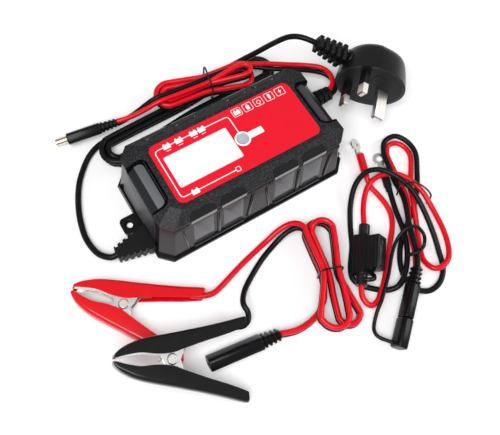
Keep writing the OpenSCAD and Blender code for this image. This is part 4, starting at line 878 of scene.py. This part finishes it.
def grip_rings(sign):
    """Grip as a channel: twelve given pairs of back and inner edge points, smoothed, each pair
    carrying a U section 10.8 mm thick with a 2.6 mm rounded back and 1.15 mm walls."""
    back = smooth([(-34, 0.9), (-33.4, 2.8), (-31, 5.4), (-27, 8), (-20, 10.9), (-10, 13.2),
        (3.5, 15.6), (10, 16.9), (17.4, 18.3), (31, 21.3), (43.5, 24.4), (45.3, 23.6)], 4)
    edge = smooth([(-33.7, 0.6), (-32.6, 0.95), (-31, 1.4), (-25, 2.8), (-18, 3.7), (-9, 2.95),
        (0, 3.6), (7, 6), (21, 10.6), (33, 14.2), (43.2, 17.8), (44.9, 18.9)], 4)
    depth = np.linalg.norm(back - edge, axis=1)[:, None]
    a = np.linspace(0, np.pi / 2, 6)
    r = np.minimum(2.6, 0.45 * depth)
    width = np.minimum(5.4, 2.2 + 1.6 * depth)
    down = np.concatenate([depth * [0.985, 1], r * (1 - np.sin(a))], 1)
    out = np.concatenate([width - 0.5, width, width - r * (1 - np.cos(a))], 1)
    hollow, lip = np.minimum(1.5, 0.5 * depth), depth * 0.97
    inner = np.maximum(width - 1.15, 0.3)
    down = np.concatenate([down, down[:, ::-1], lip, hollow, hollow, lip], 1)
    out = np.concatenate([out, -out[:, ::-1], -inner, -inner, inner, inner], 1)
    to = (edge - back) / depth
    rings = np.stack([back[:, :1] + down * to[:, :1],
        sign * (back[:, 1:] + down * to[:, 1:]), out], -1)
    return rings if sign > 0 else rings[:, ::-1]


clip_places = {"red": (turn(0, 0, -46.9), (-105.9, -47.6, 5.7)),
    "black": (turn(8, 12.7, -27), (-97.3, -93.3, 18.7))}


def on_clip(points, colour):
    """Points of a clip's own frame, rivet at its origin, moved to where that clip lies."""
    spin, place = clip_places[colour]
    return np.asarray(points, float) @ spin.T + place


grip_skin = {"red": skin("red_grip_pvc", (0.7, 0.002, 0.008), 0.22, 0.05, coat=0.4, grain=0.03),
    "black": skin("black_grip_pvc", (0.004, 0.004, 0.005), 0.22, 0.2, coat=0.4, grain=0.03)}
for colour in ("red", "black"):
    for side, sign, body in (("upper", 1, "housing"), ("lower", -1, f"{colour}_clip_handle")):
        name = f"{colour}_{side}_grip_shell"
        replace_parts(put(name, merged(name, [on_clip(grip_rings(sign), colour)]),
            grip_skin[colour], body, 50), f"{colour}_{side}_grip")
dress(skin("nickel_plate", (0.93, 0.91, 0.87), 0.34, 0.1, metal=1.0, grain=0.1, edge=0.0003),
    "fixed_jaws", "red_moving_jaw", "black_moving_jaw", "clip_rivets", "ring_terminals")
dress(skin("spring_steel", (0.5, 0.5, 0.5), 0.3, 0.1, metal=1.0), "red_spring", "black_spring")

# ---------------------------------------------------------------- fuse holder and ring terminals
# In-line holder for a blade fuse: a black body round the red wire and a deep push-on cap with a
# raised panel. The ring terminals are tinned copper, crimped under coloured PVC sleeves.
dress(skin("holder_pvc", (0.009, 0.009, 0.01), 0.3, 0.15, coat=0.4, grain=0.05, edge=0.0007),
    "fuse_holder", "fuse_cap")
holder_spin = turn(0, 0, 51) @ turn(-43.7, 0, 0) @ np.diag([1.0, -1.0, 1.0])


def on_holder(points):
    """Points of the holder's frame, X along the wire and Y the way the cap comes off, moved into
    place."""
    return (np.asarray(points, float) @ holder_spin.T + (42.1, -95.6, 7.9))[:, ::-1]


def upright(rings):
    """Plate drawn in X and Z turned so that its thickness runs along Y."""
    r = np.asarray(rings, float)
    return np.stack([r[..., 0], r[..., 2], r[..., 1]], -1)[:, ::-1]


cap_top = 14.2
panels = [pillow(round_rect(-9.4, 9.4, -3.4, 3.4, 0.8), cap_top - 0.2, cap_top + 0.35, 0.25),
    pillow(round_rect(4.4, 8.4, -2.4, 2.4, 0.5), cap_top, cap_top + 0.7, 0.25)]
holder_black = skin("holder_panel", (0.007, 0.007, 0.008), 0.26, 0.15, coat=0.25, grain=0.04)
put("fuse_cap_panel", merged("fuse_cap_panel", [on_holder(upright(p)) for p in panels]),
    holder_black, "fuse_cap_body")
strap = smooth([(31.2, -109.4, 12.2), (33.6, -111.8, 13.6), (37.2, -112.6, 12.4),
    (39.4, -110.2, 9.4), (38.6, -106.6, 7.2), (35.6, -105.4, 8.2), (34.0, -107.2, 11.2)], 5)
strap_piece = put("fuse_cap_strap", merged("fuse_cap_strap", [tube_rings(strap, 1.5, 12)]),
    holder_black, None)
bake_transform(strap_piece)
dress(skin("fuse_amber", (0.85, 0.22, 0.02), 0.2, 0.05, coat=0.6), "blade_fuse")
dress(by_axis(skin("sleeve_pvc", (0.5, 0.1, 0.1), 0.3, 0.1, coat=0.3, edge=0.0005), "Y",
    -0.0501, -0.05, (0.006, 0.006, 0.007), (0.72, 0.002, 0.01)), "terminal_sleeves")

# ---------------------------------------------------------------- ties
# Thin black plastic-coated wire ties hold the wound leads. One of them is twisted round the
# ring-terminal lead where its strands cross.
tie_plastic = skin("tie_plastic", (0.006, 0.006, 0.007), 0.35, 0.2, coat=0.2)
dress(tie_plastic, "ties")
twist = smooth([(87.4, -72.5, 8), (90.2, -69.8, 14), (95, -70.2, 14.9), (99.8, -72, 14.5),
    (103, -75.4, 14), (107.3, -78.3, 9), (109.2, -81.6, 6.4), (108.7, -84.5, 5),
    (104, -86.4, 2)], 5)
put("ring_lead_tie", merged("ring_lead_tie", [tube_rings(twist, 0.6, 10)]), tie_plastic)
